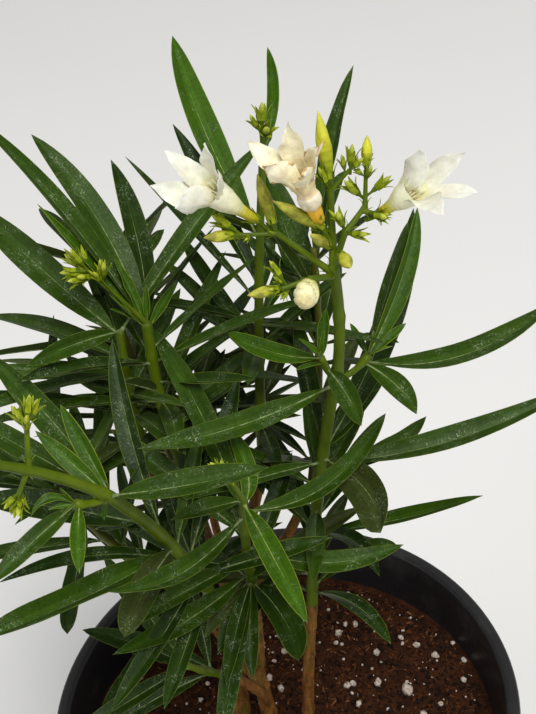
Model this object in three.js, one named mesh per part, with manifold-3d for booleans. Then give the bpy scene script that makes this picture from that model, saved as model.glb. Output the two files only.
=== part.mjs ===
// A white-flowered oleander in a round black nursery pot.
// Millimetres, +Z up, +X to the right and +Y to the back; the origin is the middle of
// the pot's flat underside. Stems stand on the soil, boughs carry them on, and each leafy
// shoot, with its leaves in whorls of three, is one solid. Neighbours keep a small gap.
import * as THREE from 'three';
import Module from 'manifold-3d';

const wasm = await Module();
wasm.setup();

const GAP = 0.3;
const TURN = 2 * Math.PI;
const GOLDEN_ANGLE = 137.5;

// The pot is a ten-inch nursery pot, filled to 30 mm below its rim.
const POT = {
  rimRadius: 125, height: 220, bandDepth: 11, band: 6.5, wall: 2.2, footRadius: 92,
  footRound: 3, base: 3, edge: 1, sides: 36,
};
const DRAIN = { count: 8, radius: 6, ring: 72, sides: 8 };
const SOIL_TOP = 190;

// A leaf is a narrow folded blade, hardly wider when it is longer. Each section is given as
// how far it lies along the leaf and what part of the full width it has.
const LEAF = {
  width: 6, widening: 0.05, widest: 0.2, thickness: 1.2, thinnest: 0.3, fold: 0.16, sunk: 1.2,
};
const LEAF_SECTIONS = [[0, 0.2], [0.34, 0.92], [0.7, 0.88]];
const OUTER_FROM = 0.3;

// What a leaf tries, in degrees of turn and of spread, before it is left out.
const NUDGES = [
  [0, 0], [7, 0], [-7, 0], [0, 7], [0, -7], [14, 4], [-14, 4], [14, -6], [-14, -6],
  [22, 0], [-22, 0], [0, 14], [0, -14], [30, 8], [-30, 8],
];
const FREE_NUDGES = [[45, 0], [-45, 0], [60, 10], [-60, 10]];

// Sides and steps of the limbs, and what counts as a touch, in cubic millimetres.
const CORE = { stemSides: 9, stemSteps: 6, sides: 6, steps: 3, sprigSides: 4, short: 25 };
const TOUCH = 1e-6;
const LEAF_CHANCE = 100;

// Woody stems from the soil up, with their root flare.
const STEMS = [
  { name: 'stem_right', foot: [10, -13, SOIL_TOP + GAP], bend: [14, -6, 250],
    tip: [22, -2, 300], girth: [3.3, 2.9], flare: 2.2 },
  { name: 'stem_left', foot: [-7, -7, SOIL_TOP + GAP], bend: [-9, -7, 240],
    tip: [-14, 2, 292], girth: [4.3, 3.6], flare: 3.4 },
  { name: 'stem_back', foot: [-25, 20, SOIL_TOP + GAP], bend: [-22, 31, 240],
    tip: [-14, 34, 300], girth: [3.8, 3.2], flare: 2.8 },
];

// Bare boughs. Each one leaves the side of a stem or bough, or carries on from its tip.
const BOUGHS = [
  { name: 'bough_left', foot: [-14, 2, 292 + GAP], bend: [-22, 8, 330],
    tip: [-26, 12, 370], girth: [3.4, 2.9] },
  { name: 'bough_back', foot: [-14, 34, 300 + GAP], bend: [0, 34, 330],
    tip: [8, 38, 365], girth: [3.1, 2.7] },
  { name: 'bough_front', foot: [-9, -5.5, 262], bend: [-6, -20, 300],
    tip: [-4, -22, 345], girth: [3, 2.5] },
  { name: 'bough_left_low', foot: [-11, -3, 272], bend: [-24, -16, 306],
    tip: [-22, -32, 352], girth: [3.2, 2.9] },
  { name: 'bough_left_side', foot: [-8, -7, 246], bend: [-22, -6, 276],
    tip: [-32, 2, 304], girth: [2.9, 2.5] },
  { name: 'bough_front_low', foot: [-7.5, -7, 232], bend: [-10, -20, 262],
    tip: [-22, -28, 288], girth: [2.5, 2.2] },
  { name: 'bough_left_outer', foot: [-20.5, 7, 328],
    bend: [-36, 6, 360], tip: [-42, 12, 395], girth: [2.5, 2.2] },
  { name: 'bough_back_left', foot: [-17, 33, 284], bend: [-28, 40, 315],
    tip: [-34, 48, 350], girth: [2.8, 2.4] },
  { name: 'bough_back_right', foot: [-19, 31, 264], bend: [12, 34, 300],
    tip: [30, 40, 340], girth: [2.8, 2.4] },
  { name: 'bough_back_low', foot: [-21.5, 29, 246], bend: [-20, 50, 276],
    tip: [-24, 66, 302], girth: [2.5, 2.2] },
];

// Leafy shoots. A placed leaf is where it grows along the shoot from 0 to 1, its turn round
// the shoot and its spread from the shoot's line in degrees, its length, its droop and, where
// it needs them, its roll and its breadth. The whorls fill the rest of the shoot by rule,
// apart from the arc that is bare.
const SHOOTS = [
  { name: 'foliage_flowering', foot: [22, -2, 300 + GAP],
    bend: [28, 0, 372], tip: [45, -2, 447], girth: [2.8, 2.5], seed: 131,
    placed: [
      [0.96, -152, 81, 96, 0.1, -20], [0.66, 3, 72, 114, 0], [0.62, 30, 80, 60, 0.1],
      [0.68, -78, 72, 60, 0.15, 30, 1.5], [0.35, -22, 58, 82, 0.08], [0.4, 55, 73, 72, 0.1],
      [0.1, -26, 45, 62, 0.1, 45, 1.2], [0.07, -62, 62, 66, 0.15], [0.35, -65, 60, 60, 0.1],
    ],
    whorls: { count: 4, first: 0.06, last: 0.66, turn: 150, length: 80, spread: 66,
      bare: [-70, 50] } },
  { name: 'foliage_side_left', foot: [44, -2, 443],
    bend: [41, -5, 451], tip: [39, -6, 460], girth: [1.4, 1.1], seed: 12,
    placed: [
      [1, 144, 77, 46, 0.1, -30], [0.8, -141, 46, 17, 0.1], [0.97, 77, 86, 26, 0],
      [0.6, -72, 68, 46, 0.1],
    ],
    whorls: { count: 1, first: 1, last: 1, turn: 30, length: 15, spread: 22 } },
  { name: 'foliage_side_right', foot: [45, -1, 443],
    bend: [53, 0, 444], tip: [59, 2, 451], girth: [1.6, 1.2], seed: 13,
    placed: [
      [0.85, 22, 58, 94, -0.16], [1, 102, 36, 62, 0], [0.92, 112, 25, 70, 0],
      [0.96, 45, 30, 22, 0], [1, 130, 74, 17, 0, -60], [0.8, -61, 82, 36, 0.1, 70, 1.1],
    ],
    whorls: { count: 1, first: 1, last: 1, turn: -60, length: 14, spread: 25 } },
  { name: 'foliage_front', foot: [-4, -22, 345 + GAP],
    bend: [-4, -38, 385], tip: [0, -52, 432], girth: [2.4, 1.7], seed: 114,
    placed: [
      [0.98, -74, 65, 64, 0.15], [0.86, -141, 52, 84, 0.1], [1, -157, 58, 36, 0.1],
      [0.93, 94, 92, 43, -0.1], [0.88, 109, 84, 94, 0], [0.9, 37, 96, 86, 0.1],
      [0.2, -146, 55, 82, 0.15], [0.06, -68, 58, 56, 0.15, 0, 1.5],
    ],
    buds: { lean: [-5, -3, 20], count: 3, size: 7 },
    whorls: { count: 3, first: 0.1, last: 0.66, turn: 20, length: 74, spread: 64,
      bare: [-100, -20] } },
  { name: 'foliage_left_low', foot: [-22, -32, 352 + GAP],
    bend: [-28, -50, 412], tip: [-49, -66, 460], girth: [2.8, 2.4], seed: 155,
    placed: [
      [0.98, -8, 84, 68, 0.08], [0.95, 120, 76, 88, 0.05], [0.9, 138, 70, 88, 0.05],
      [0.5, -99, 48, 62, 0.15, -30, 1.25], [0.48, -131, 40, 94, 0.1], [0.36, -158, 31, 96, 0.1],
      [0.97, 124, 46, 36, 0], [0.96, 102, 54, 36, -0.1], [0.99, -80, 60, 13, 0.1],
    ],
    whorls: { count: 3, first: 0.08, last: 0.6, turn: 80, length: 84, spread: 64 } },
  { name: 'foliage_side_low', foot: [-48.5, -65, 457],
    bend: [-54, -69, 458], tip: [-59, -72, 463], girth: [1.6, 1.3], seed: 16,
    placed: [
      [1, -158, 30, 22, 0.15], [0.98, -112, 37, 42, 0.15, -50], [0.9, -62, 69, 31, 0.15, -50],
    ],
    whorls: { count: 1, first: 1, last: 1, turn: 60, length: 12, spread: 30 } },
  { name: 'foliage_left', foot: [-26, 12, 370 + GAP],
    bend: [-34, 18, 430], tip: [-31, 23, 468], girth: [2.8, 2.3], seed: 37,
    placed: [
      [1, 158, 33, 106, 0], [0.98, 124, 51, 98, 0], [0.99, 174, 38, 62, -0.1],
      [0.94, 99, 52, 84, 0], [0.84, 34, 71, 62, -0.05], [0.96, 60, 70, 26, 0],
      [1, 140, 20, 30, 0], [0.98, -170, 36, 22, 0], [1, 80, 18, 16, 0],
    ],
    buds: { lean: [-10, 5, 27], count: 9, size: 10 },
    whorls: { count: 4, first: 0.1, last: 0.76, turn: 40, length: 84, spread: 66 } },
  { name: 'foliage_left_outer', foot: [-42, 12, 395 + GAP],
    bend: [-46, 20, 430], tip: [-43, 24, 465], girth: [2.1, 1.7], seed: 78,
    placed: [
      [0.97, 132, 60, 106, 0.05, -20, 1.5], [1, -130, 72, 56, 0.1, -50], [0.8, 138, 91, 92, 0.05],
      [0.72, 128, 90, 78, 0.05],
    ],
    whorls: { count: 3, first: 0.1, last: 0.7, turn: 100, length: 84, spread: 64 } },
  { name: 'foliage_left_side', foot: [-32, 2, 304 + GAP],
    bend: [-60, -4, 350], tip: [-84, 0, 400], girth: [2.4, 1.7], seed: 59,
    placed: [[0.5, 78, 36, 78, 0.05]],
    whorls: { count: 6, first: 0.15, last: 1, turn: 0, length: 86, spread: 58,
      bare: [-140, -40] } },
  { name: 'foliage_front_low', foot: [-22, -28, 288 + GAP],
    bend: [-30, -40, 308], tip: [-38, -50, 330], girth: [2.1, 1.5], seed: 20,
    placed: [],
    whorls: { count: 4, first: 0.2, last: 1, turn: 30, length: 64, spread: 58,
      bare: [-100, 70] } },
  { name: 'foliage_back', foot: [8, 38, 365 + GAP],
    bend: [14, 50, 440], tip: [28, 65, 520], girth: [2.6, 1.6], seed: 81,
    placed: [
      [0.74, 113, 55, 112, 0], [0.98, 85, 56, 56, 0], [0.6, 125, 48, 86, 0],
      [0.55, 140, 56, 92, 0],
    ],
    buds: { lean: [1, 2, 13], count: 4, size: 11 },
    whorls: { count: 5, first: 0.06, last: 0.62, turn: 0, length: 78, spread: 66,
      bare: [-40, 30] } },
  { name: 'foliage_back_left', foot: [-34, 48, 350 + GAP],
    bend: [-48, 75, 400], tip: [-58, 105, 450], girth: [2.3, 1.6], seed: 82,
    placed: [[0.8, 37, 51, 62, 0]],
    buds: { lean: [-2, 4, 14], count: 4, size: 10 },
    whorls: { count: 6, first: 0.12, last: 0.94, turn: 50, length: 82, spread: 58 } },
  { name: 'foliage_back_right', foot: [30, 40, 340 + GAP],
    bend: [44, 58, 400], tip: [45, 74, 458], girth: [2.3, 1.6], seed: 83,
    placed: [[0.9, 32, 17, 94, 0]],
    whorls: { count: 6, first: 0.1, last: 0.95, turn: 10, length: 76, spread: 62,
      bare: [-50, 50] } },
  { name: 'foliage_back_low', foot: [-24, 66, 302 + GAP],
    bend: [-26, 84, 336], tip: [-20, 104, 372], girth: [2.1, 1.5], seed: 44,
    placed: [],
    whorls: { count: 6, first: 0.1, last: 1, turn: 0, length: 80, spread: 60 } },
];

// The open truss: sprigs of flower stalk, some with a cluster of buds at the end, then the
// single larger buds and the open flowers. A petal is its turn round the flower's axis and
// how far it opens from that axis, in degrees.
const TRUSS = {
  name: 'truss_flowers', seed: 31,
  stalk: { foot: [45, -2, 447 + GAP], bend: [49, -8, 478], tip: [47, -9, 507],
    girth: [2.5, 2.1] },
  sprigs: [
    { foot: [47, -9, 505], tip: [49, 0, 535], girth: [1.9, 1.4], buds: 0, size: 6 },
    { foot: [49, 0, 534], tip: [57, 2, 541], girth: [1, 0.7], buds: 2, size: 6 },
    { foot: [47, -9, 506], tip: [53, -8, 522], girth: [1.6, 1.4], buds: 0, size: 6 },
    { foot: [53, -8, 521], tip: [61, -4, 528], girth: [1.3, 1.1], buds: 0, size: 6 },
    { foot: [61, -4, 527], tip: [63, 2, 540], girth: [1.1, 0.8], buds: 3, size: 6 },
    { foot: [60, -5, 527], tip: [66, -6, 525], girth: [1.1, 0.9], buds: 4, size: 5 },
    { foot: [47, -9, 503], tip: [27, -4, 522], girth: [1.7, 1.2], buds: 0, size: 6 },
    { foot: [28, -4, 521.5], tip: [13, -5, 524], girth: [1.2, 0.8], buds: 4, size: 5 },
    { foot: [47, -9, 502], tip: [37, -17, 508], girth: [1.6, 1.4], buds: 0, size: 6 },
    { foot: [38, -17, 508], tip: [26, -19, 507], girth: [1.4, 0.9], buds: 4, size: 5 },
  ],
  budsAlone: [
    { foot: [49.5, 1, 534], tip: [48, 11, 562], radius: 2.9 },
    { foot: [63, 2, 538], tip: [65, 8, 551], radius: 2.1 },
    { foot: [57, 2, 539], tip: [59, 5, 550], radius: 1.7 },
    { foot: [61.5, -2.5, 530], tip: [54, -3, 540], radius: 1.8 },
    { foot: [61.6, -2.2, 531], tip: [72, -1, 538], radius: 1.4 },
    { foot: [49, 0, 534], tip: [45.5, 2, 544], radius: 1.4 },
    { foot: [62, -5.3, 526.3], tip: [68, -12, 527], radius: 1.9 },
    { foot: [52.6, -8.1, 521], tip: [50, -9, 531], radius: 1.8 },
    { foot: [52.3, -8.1, 520], tip: [60, -15, 523], radius: 1.6 },
    { foot: [47.8, -7, 513], tip: [39, -14, 526], radius: 2.1 },
    { foot: [49.6, -8.6, 513], tip: [52, -23, 515], radius: 2.6 },
    { foot: [37, -17, 507], tip: [33, -33, 509], radius: 4.8 },
    { foot: [28, -18.5, 507], tip: [13, -23, 509], radius: 2.2 },
    { foot: [28, -18.5, 508], tip: [23, -14, 517], radius: 1.5 },
    { foot: [14, -5, 524], tip: [0, -8, 527], radius: 2.3 },
    { foot: [14, -5, 524], tip: [4, -1, 532], radius: 1.8 },
    { foot: [27, -3.5, 521], tip: [23, 5, 543], radius: 2.7 },
    { foot: [47.9, -4.8, 519], tip: [27, -5, 537], radius: 2.6 },
  ],
  flowers: [
    { foot: [26, -4, 521], throat: [6, 1, 542], petal: 22,
      petals: [[-180, 36], [-108, 66], [-36, 46], [66, 62], [108, 28]] },
    { foot: [47, -8, 519], throat: [37, -6, 538], petal: 25,
      petals: [[-105, 30], [-80, 75], [-16, 53], [32, 32], [108, 28]] },
    { foot: [62, -5, 524], throat: [80, -6, 533], petal: 22,
      petals: [[180, 52], [-93, 70], [-30, 32], [24, 48], [95, 22]] },
  ],
};

// The second truss, on the leaning shoot, is still in small bud.
const GREEN_TRUSS = {
  name: 'truss_green', seed: 32,
  stalk: { foot: [-49.2, -66.2, 460 + GAP], bend: [-66, -70, 482], tip: [-98, -84, 506],
    girth: [2.3, 1.6] },
  sprigs: [
    { foot: [-71, -73, 485], tip: [-69, -65, 499], girth: [1.3, 1], buds: 4, size: 9 },
    { foot: [-71, -73, 485], tip: [-76, -79, 478], girth: [1.3, 1], buds: 4, size: 8 },
    { foot: [-82, -77, 493], tip: [-84, -68, 506], girth: [1.2, 0.9], buds: 4, size: 9 },
    { foot: [-88, -80, 498], tip: [-97, -94, 500], girth: [1.2, 0.9], buds: 4, size: 9 },
    { foot: [-96, -83, 504], tip: [-106, -80, 520], girth: [1.3, 0.9], buds: 4, size: 10 },
    { foot: [-96, -83, 504], tip: [-96, -92, 520], girth: [1.2, 0.9], buds: 4, size: 10 },
  ],
  budsAlone: [],
  flowers: [],
};

// A bud is a spindle, its rings given as how far they lie along it and their share of its
// radius. A petal's sections are given like a leaf's.
const BUD = { sides: 4, radiusShare: 0.2, sunk: 1, rings: [[0.34, 0.7], [0.66, 1]] };
const FLOWER = { sides: 6, tube: [[0, 1.6], [0.55, 2.6], [1, 4.6]], petalWidth: 0.42,
  petalThick: 1, petalFrom: 0.88, sections: [[0, 0.45], [0.5, 1], [0.8, 0.85]] };

const LOOKS = {
  pot: { color: 0x1b1c1e, roughness: 0.5, metalness: 0 },
  soil: { color: 0x3b2118, roughness: 0.95, metalness: 0 },
  bark: { color: 0x8a5a34, roughness: 0.8, metalness: 0 },
  leaf: { color: 0x2c5a23, roughness: 0.45, metalness: 0 },
  truss: { color: 0xb9c05a, roughness: 0.55, metalness: 0 },
};

const vector = (p) => new THREE.Vector3(p[0], p[1], p[2]);
const radians = THREE.MathUtils.degToRad;

// A small generator of chance numbers, the same on any machine.
function makeChance(seed) {
  let state = (seed * 7919 + 104729) % 2147483647;
  for (let i = 0; i < 3; i += 1) state = (state * 16807) % 2147483647;
  return () => {
    state = (state * 16807) % 2147483647;
    return state / 2147483647;
  };
}

// A curved limb, with a point, a direction and a frame at each place along it.
class Limb {
  constructor(spec) {
    Object.assign(this, spec);
    this.a = vector(spec.foot);
    this.b = spec.bend ? vector(spec.bend) : vector(spec.foot).lerp(vector(spec.tip), 0.5);
    this.c = vector(spec.tip);
  }

  at(t) {
    const near = this.a.clone().lerp(this.b, t);
    const far = this.b.clone().lerp(this.c, t);
    return near.lerp(far, t);
  }

  frame(t) {
    const first = this.b.clone().sub(this.a).multiplyScalar(1 - t);
    const along = first.add(this.c.clone().sub(this.b).multiplyScalar(t)).normalize();
    const right = new THREE.Vector3(1, 0, 0).addScaledVector(along, -along.x).normalize();
    return { along, right, back: along.clone().cross(right) };
  }

  radius(t) {
    const flare = (this.flare ?? 0) * Math.exp(-t * 9);
    return this.girth[0] + (this.girth[1] - this.girth[0]) * t + flare;
  }

  solid(sides, steps, grow = 0) {
    const rings = [];
    for (let i = 0; i <= steps; i += 1) {
      const t = i / steps;
      const frame = this.frame(t);
      const place = this.at(t);
      if (i === 0) place.addScaledVector(frame.along, -grow);
      if (i === steps) place.addScaledVector(frame.along, grow);
      const level = i === 0 && this.flare ? levelFrame() : frame;
      rings.push(ring(place, level, this.radius(t) + grow, sides));
    }
    return loft(rings);
  }
}

function levelFrame() {
  return { along: vector([0, 0, 1]), right: vector([1, 0, 0]), back: vector([0, 1, 0]) };
}

// A direction at a turn round a frame's line and an opening away from that line, in degrees.
function aslant({ along, right, back }, turn, opening) {
  const out = right.clone().multiplyScalar(Math.cos(radians(turn)));
  out.addScaledVector(back, Math.sin(radians(turn)));
  return out.multiplyScalar(Math.sin(radians(opening)))
    .addScaledVector(along, Math.cos(radians(opening)));
}

// Four points round a flat blade's line, its edges lifted to fold it.
function diamond(place, upper, side, thick, half, lift = 0) {
  const edge = place.clone().addScaledVector(upper, lift);
  return [
    place.clone().addScaledVector(upper, -thick), edge.clone().addScaledVector(side, -half),
    place.clone().addScaledVector(upper, thick), edge.clone().addScaledVector(side, half),
  ];
}

function ring(middle, frame, radius, sides) {
  const points = [];
  for (let i = 0; i < sides; i += 1) {
    const angle = TURN * i / sides;
    const point = middle.clone().addScaledVector(frame.right, radius * Math.cos(angle));
    points.push(point.addScaledVector(frame.back, radius * Math.sin(angle)));
  }
  return points;
}

// A closed solid through a row of rings. A ring of one point ends it in a tip.
function loft(rings) {
  const vertices = [];
  const faces = [];
  const starts = [];
  for (const points of rings) {
    starts.push(vertices.length);
    vertices.push(...points);
  }
  for (let i = 0; i + 1 < rings.length; i += 1) {
    const [low, high] = [rings[i].length, rings[i + 1].length];
    for (let j = 0; j < Math.max(low, high); j += 1) {
      const k = (j + 1) % Math.max(low, high);
      const [a, b] = [starts[i] + j % low, starts[i] + k % low];
      const [c, d] = [starts[i + 1] + k % high, starts[i + 1] + j % high];
      if (a !== b) faces.push([a, b, c]);
      if (c !== d) faces.push([a, c, d]);
    }
  }
  const last = starts[rings.length - 1];
  for (let j = 1; j + 1 < rings[0].length; j += 1) faces.push([0, j + 1, j]);
  for (let j = 1; j + 1 < rings.at(-1).length; j += 1) {
    faces.push([last, last + j, last + j + 1]);
  }
  return solidFrom(vertices, faces);
}

function solidFrom(vertices, faces) {
  const mesh = new wasm.Mesh({
    numProp: 3,
    vertProperties: new Float32Array(vertices.flatMap((point) => point.toArray())),
    triVerts: new Uint32Array(faces.flat()),
  });
  return new wasm.Manifold(mesh);
}

// A closed solid of revolution about Z, from a profile of [radius, height] pairs.
function turned(profile, sides) {
  const rings = profile.map(([radius, height]) => (
    radius === 0
      ? [vector([0, 0, height])]
      : ring(vector([0, 0, height]), levelFrame(), radius, sides)
  ));
  return loft(rings);
}

// Where a leaf lies: its line, its flat side and its width.
function leafPath(limb, { at, turn, spread, length, droop, roll = 0, breadth = 1 }) {
  const frame = limb.frame(at);
  const start = aslant(frame, turn, spread);
  const depth = Math.max(limb.radius(at) - LEAF.sunk, 0);
  const root = limb.at(at).addScaledVector(aslant(frame, turn, 90), depth);
  const middle = root.clone().addScaledVector(start, length / 2);
  const tip = root.clone().addScaledVector(start, length).add(vector([0, 0, -droop * length]));
  const side = start.clone().cross(frame.along).normalize().applyAxisAngle(start, radians(roll));
  const width = breadth * Math.min(LEAF.width + LEAF.widening * length, LEAF.widest * length);
  return { root, middle, tip, side, width };
}

// A leaf from one place along it to its tip, and fatter all round by how much it grows.
function leafSolid({ root, middle, tip, side, width }, from = 0, grow = 0) {
  const thick = Math.min(LEAF.thickness, width * LEAF.thinnest) / 2 + grow;
  const rings = [];
  for (const [at, share] of LEAF_SECTIONS.filter((section) => section[0] >= from)) {
    const near = root.clone().lerp(middle, at);
    const far = middle.clone().lerp(tip, at);
    const place = near.clone().lerp(far, at);
    const upper = side.clone().cross(far.sub(near)).normalize();
    const half = width * share / 2 + grow;
    rings.push(diamond(place, upper, side, thick, half, LEAF.fold * half));
  }
  const end = tip.clone().sub(middle).normalize();
  return loft([...rings, [tip.clone().addScaledVector(end, grow)]]);
}

// A spindle that starts as a point inside its stalk.
function budSolid(foot, tip, radius) {
  const limb = new Limb({ foot, tip });
  const rings = BUD.rings.map(([at, share]) => (
    ring(limb.at(at), limb.frame(at), radius * share, BUD.sides)
  ));
  return loft([[limb.a], ...rings, [limb.c]]);
}

// Buds round the end of a stalk, each turned on from the last by the golden angle.
function budCluster(stalk, count, size, chance) {
  const buds = [];
  const frame = stalk.frame(1);
  for (let i = 0; i < count; i += 1) {
    const turn = GOLDEN_ANGLE * i + 30 * chance();
    const way = aslant(frame, turn, i === 0 ? 8 : 22 + 38 * chance());
    const length = size * (0.8 + 0.5 * chance());
    const foot = stalk.at(1 - 0.12 * (i % 3)).addScaledVector(frame.along, -BUD.sunk);
    const tip = foot.clone().addScaledVector(way, length + BUD.sunk);
    buds.push(budSolid(foot.toArray(), tip.toArray(), length * BUD.radiusShare));
  }
  return buds;
}

// A funnel of a flower: the tube, then the petals turned out from its throat.
function flowerSolids({ foot, throat, petal, petals }) {
  const axis = new Limb({ foot, tip: throat });
  const frame = axis.frame(0.5);
  const mouth = FLOWER.tube.at(-1)[1];
  const tube = FLOWER.tube.map(([at, radius]) => ring(axis.at(at), frame, radius, FLOWER.sides));
  const thick = FLOWER.petalThick / 2;
  return [loft(tube), ...petals.map(([turn, opening]) => {
    const out = aslant(frame, turn, 90);
    const way = aslant(frame, turn, opening);
    const side = frame.along.clone().cross(out);
    const upper = side.clone().cross(way);
    const start = axis.at(FLOWER.petalFrom).addScaledVector(out, mouth / 2);
    const sections = FLOWER.sections.map(([at, share]) => {
      const place = start.clone().addScaledVector(way, petal * at);
      const half = petal * FLOWER.petalWidth * share / 2;
      return diamond(place, upper, side, thick, half);
    });
    return loft([...sections, [start.clone().addScaledVector(way, petal)]]);
  })];
}

const plant = new THREE.Group();
const materials = Object.fromEntries(
  Object.entries(LOOKS).map(([name, look]) => [name, new THREE.MeshStandardMaterial(look)]),
);

function addMesh(name, solid, origin, look) {
  const moved = solid.translate(origin.map((value) => -value));
  const { vertProperties, triVerts } = moved.getMesh();
  const geometry = new THREE.BufferGeometry();
  const points = new THREE.BufferAttribute(new Float32Array(vertProperties), 3);
  geometry.setAttribute('position', points);
  geometry.setIndex(new THREE.BufferAttribute(new Uint32Array(triVerts), 1));
  geometry.computeVertexNormals();
  const mesh = new THREE.Mesh(geometry, materials[look]);
  mesh.name = name;
  mesh.position.set(...origin);
  plant.add(mesh);
}

// The pot's wall leans out by the same slope inside and out, up to the band round its rim.
const WALL_SLOPE = (POT.rimRadius - POT.band - POT.footRadius) / (POT.height - POT.bandDepth);
const innerRadius = (z) => POT.footRadius - POT.wall + WALL_SLOPE * z;

function potSolid() {
  const { rimRadius, height, bandDepth, band, edge, footRadius, footRound, base } = POT;
  const shell = turned([
    [0, 0], [footRadius - footRound, 0], [footRadius, footRound],
    [rimRadius - band, height - bandDepth], [rimRadius - edge, height - bandDepth],
    [rimRadius, height - bandDepth + edge], [rimRadius, height - edge],
    [rimRadius - edge, height], [innerRadius(height) + edge, height],
    [innerRadius(height - edge), height - edge], [innerRadius(base), base], [0, base],
  ], POT.sides);
  const drains = [];
  for (let i = 0; i < DRAIN.count; i += 1) {
    const angle = TURN * (i + 0.5) / DRAIN.count;
    const middle = [DRAIN.ring * Math.cos(angle), DRAIN.ring * Math.sin(angle)];
    drains.push(loft([
      ring(vector([...middle, -1]), levelFrame(), DRAIN.radius, DRAIN.sides),
      ring(vector([...middle, base + 1]), levelFrame(), DRAIN.radius, DRAIN.sides),
    ]));
  }
  return shell.subtract(wasm.Manifold.union(drains));
}

function soilSolid() {
  const [low, high] = [POT.base + GAP, SOIL_TOP];
  const profile = [low, high].map((z) => [innerRadius(z) - 2 * GAP, z]);
  return turned([[0, low], ...profile, [0, high]], POT.sides);
}

const pot = potSolid();
const soil = soilSolid();
addMesh('pot', pot, [0, 0, 0], 'pot');
addMesh('soil', soil, [0, 0, 0], 'soil');

// Limbs first: stems, boughs, and the stem of every shoot and truss. Each is cut back by
// the gap from those before it.
const limbs = new Map();
const cores = new Map();
for (const spec of [...STEMS, ...BOUGHS, ...SHOOTS]) limbs.set(spec.name, new Limb(spec));
for (const { name, stalk } of [TRUSS, GREEN_TRUSS]) limbs.set(name, new Limb({ ...stalk, name }));

function coreSolid(limb, grow) {
  if (limb.flare) return limb.solid(CORE.stemSides, CORE.stemSteps, grow);
  const short = limb.a.distanceTo(limb.c) < CORE.short;
  return limb.solid(CORE.sides, short ? 1 : CORE.steps, grow);
}

const fatCores = [];
for (const limb of limbs.values()) {
  cores.set(limb.name, coreSolid(limb, 0).subtract(wasm.Manifold.union(fatCores)));
  fatCores.push(coreSolid(limb, GAP));
}
for (const { name, foot } of [...STEMS, ...BOUGHS]) addMesh(name, cores.get(name), foot, 'bark');

// What stands in a leaf's way is every solid so far, with its box to save time. Leaves of
// one shoot may meet at their roots, so there only the outer part of each counts.
const obstacles = [];
function addObstacle(owner, solid, outer = solid) {
  obstacles.push({ owner, solid, outer, box: solid.boundingBox() });
}

function apart(a, b) {
  return [0, 1, 2].some((i) => a.min[i] > b.max[i] || b.min[i] > a.max[i]);
}

// A leaf is clear when it is off the solids of others by the gap, and when its outer part
// is off its own shoot's.
function isClear(path, owner) {
  const whole = leafSolid(path, 0, GAP);
  const outer = leafSolid(path, OUTER_FROM);
  const box = whole.boundingBox();
  return obstacles.filter((other) => !apart(box, other.box)).every((other) => {
    const shared = other.owner === owner
      ? outer.intersect(other.outer)
      : whole.intersect(other.solid);
    return shared.volume() < TOUCH;
  });
}

for (const [name, core] of cores) addObstacle(name, core);
addObstacle('pot', pot);
addObstacle('soil', soil);

// The trusses and the shoots' own buds come before any leaf, because they show most.
const pieces = new Map();
function addPiece(name, solid) {
  pieces.get(name).push(solid);
  addObstacle(name, solid);
}

for (const truss of [TRUSS, GREEN_TRUSS]) {
  const chance = makeChance(truss.seed);
  pieces.set(truss.name, []);
  for (const sprig of truss.sprigs) {
    const limb = new Limb(sprig);
    addPiece(truss.name, limb.solid(CORE.sprigSides, 1));
    for (const bud of budCluster(limb, sprig.buds, sprig.size, chance)) addPiece(truss.name, bud);
  }
  for (const { foot, tip, radius } of truss.budsAlone) {
    addPiece(truss.name, budSolid(foot, tip, radius));
  }
  for (const solid of truss.flowers.flatMap(flowerSolids)) addPiece(truss.name, solid);
}

for (const { name, tip, buds, seed } of SHOOTS) {
  pieces.set(name, []);
  if (buds) {
    const end = tip.map((value, i) => value + buds.lean[i]);
    const stalk = new Limb({ foot: tip, tip: end, girth: [1.5, 1] });
    addPiece(name, stalk.solid(CORE.sprigSides, 1));
    for (const bud of budCluster(stalk, buds.count, buds.size, makeChance(seed))) addPiece(name, bud);
  }
}

// Whether a turn lies in the arc that a shoot keeps bare.
function inArc(turn, [from, to]) {
  return (((turn - from) % 360) + 360) % 360 < to - from;
}

// A leaf takes the first of its nudges where it is clear, or is left out.
function growLeaf({ name }, leaf, nudges) {
  for (const [moreTurn, moreSpread] of nudges) {
    const moved = { ...leaf, turn: leaf.turn + moreTurn, spread: leaf.spread + moreSpread };
    const path = leafPath(limbs.get(name), moved);
    if (isClear(path, name)) {
      pieces.get(name).push(leafSolid(path));
      addObstacle(name, leafSolid(path), leafSolid(path, OUTER_FROM));
      return;
    }
  }
}

for (const spec of SHOOTS) {
  for (const [at, turn, spread, length, droop, roll, breadth] of spec.placed) {
    growLeaf(spec, { at, turn, spread, length, droop, roll, breadth }, NUDGES);
  }
}
for (const spec of SHOOTS) {
  const { count, first, last, turn, length, spread, bare } = spec.whorls;
  const chance = makeChance(spec.seed + LEAF_CHANCE);
  for (let i = 0; i < count; i += 1) {
    const at = count === 1 ? first : first + (last - first) * i / (count - 1);
    for (let j = 0; j < 3; j += 1) {
      const leaf = {
        at,
        turn: turn + 60 * i + 120 * j + 24 * (chance() - 0.5),
        spread: spread + 14 * (0.5 - i / count) + 16 * (chance() - 0.5),
        length: length * (0.82 + 0.28 * chance()),
        droop: 0.06 + 0.1 * chance(),
      };
      if (!(bare && inArc(leaf.turn, bare))) growLeaf(spec, leaf, [...NUDGES, ...FREE_NUDGES]);
    }
  }
}

for (const [name, parts] of pieces) {
  const solid = wasm.Manifold.union([cores.get(name), ...parts]);
  addMesh(name, solid, limbs.get(name).foot, name.startsWith('truss') ? 'truss' : 'leaf');
}

export default plant;
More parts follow.
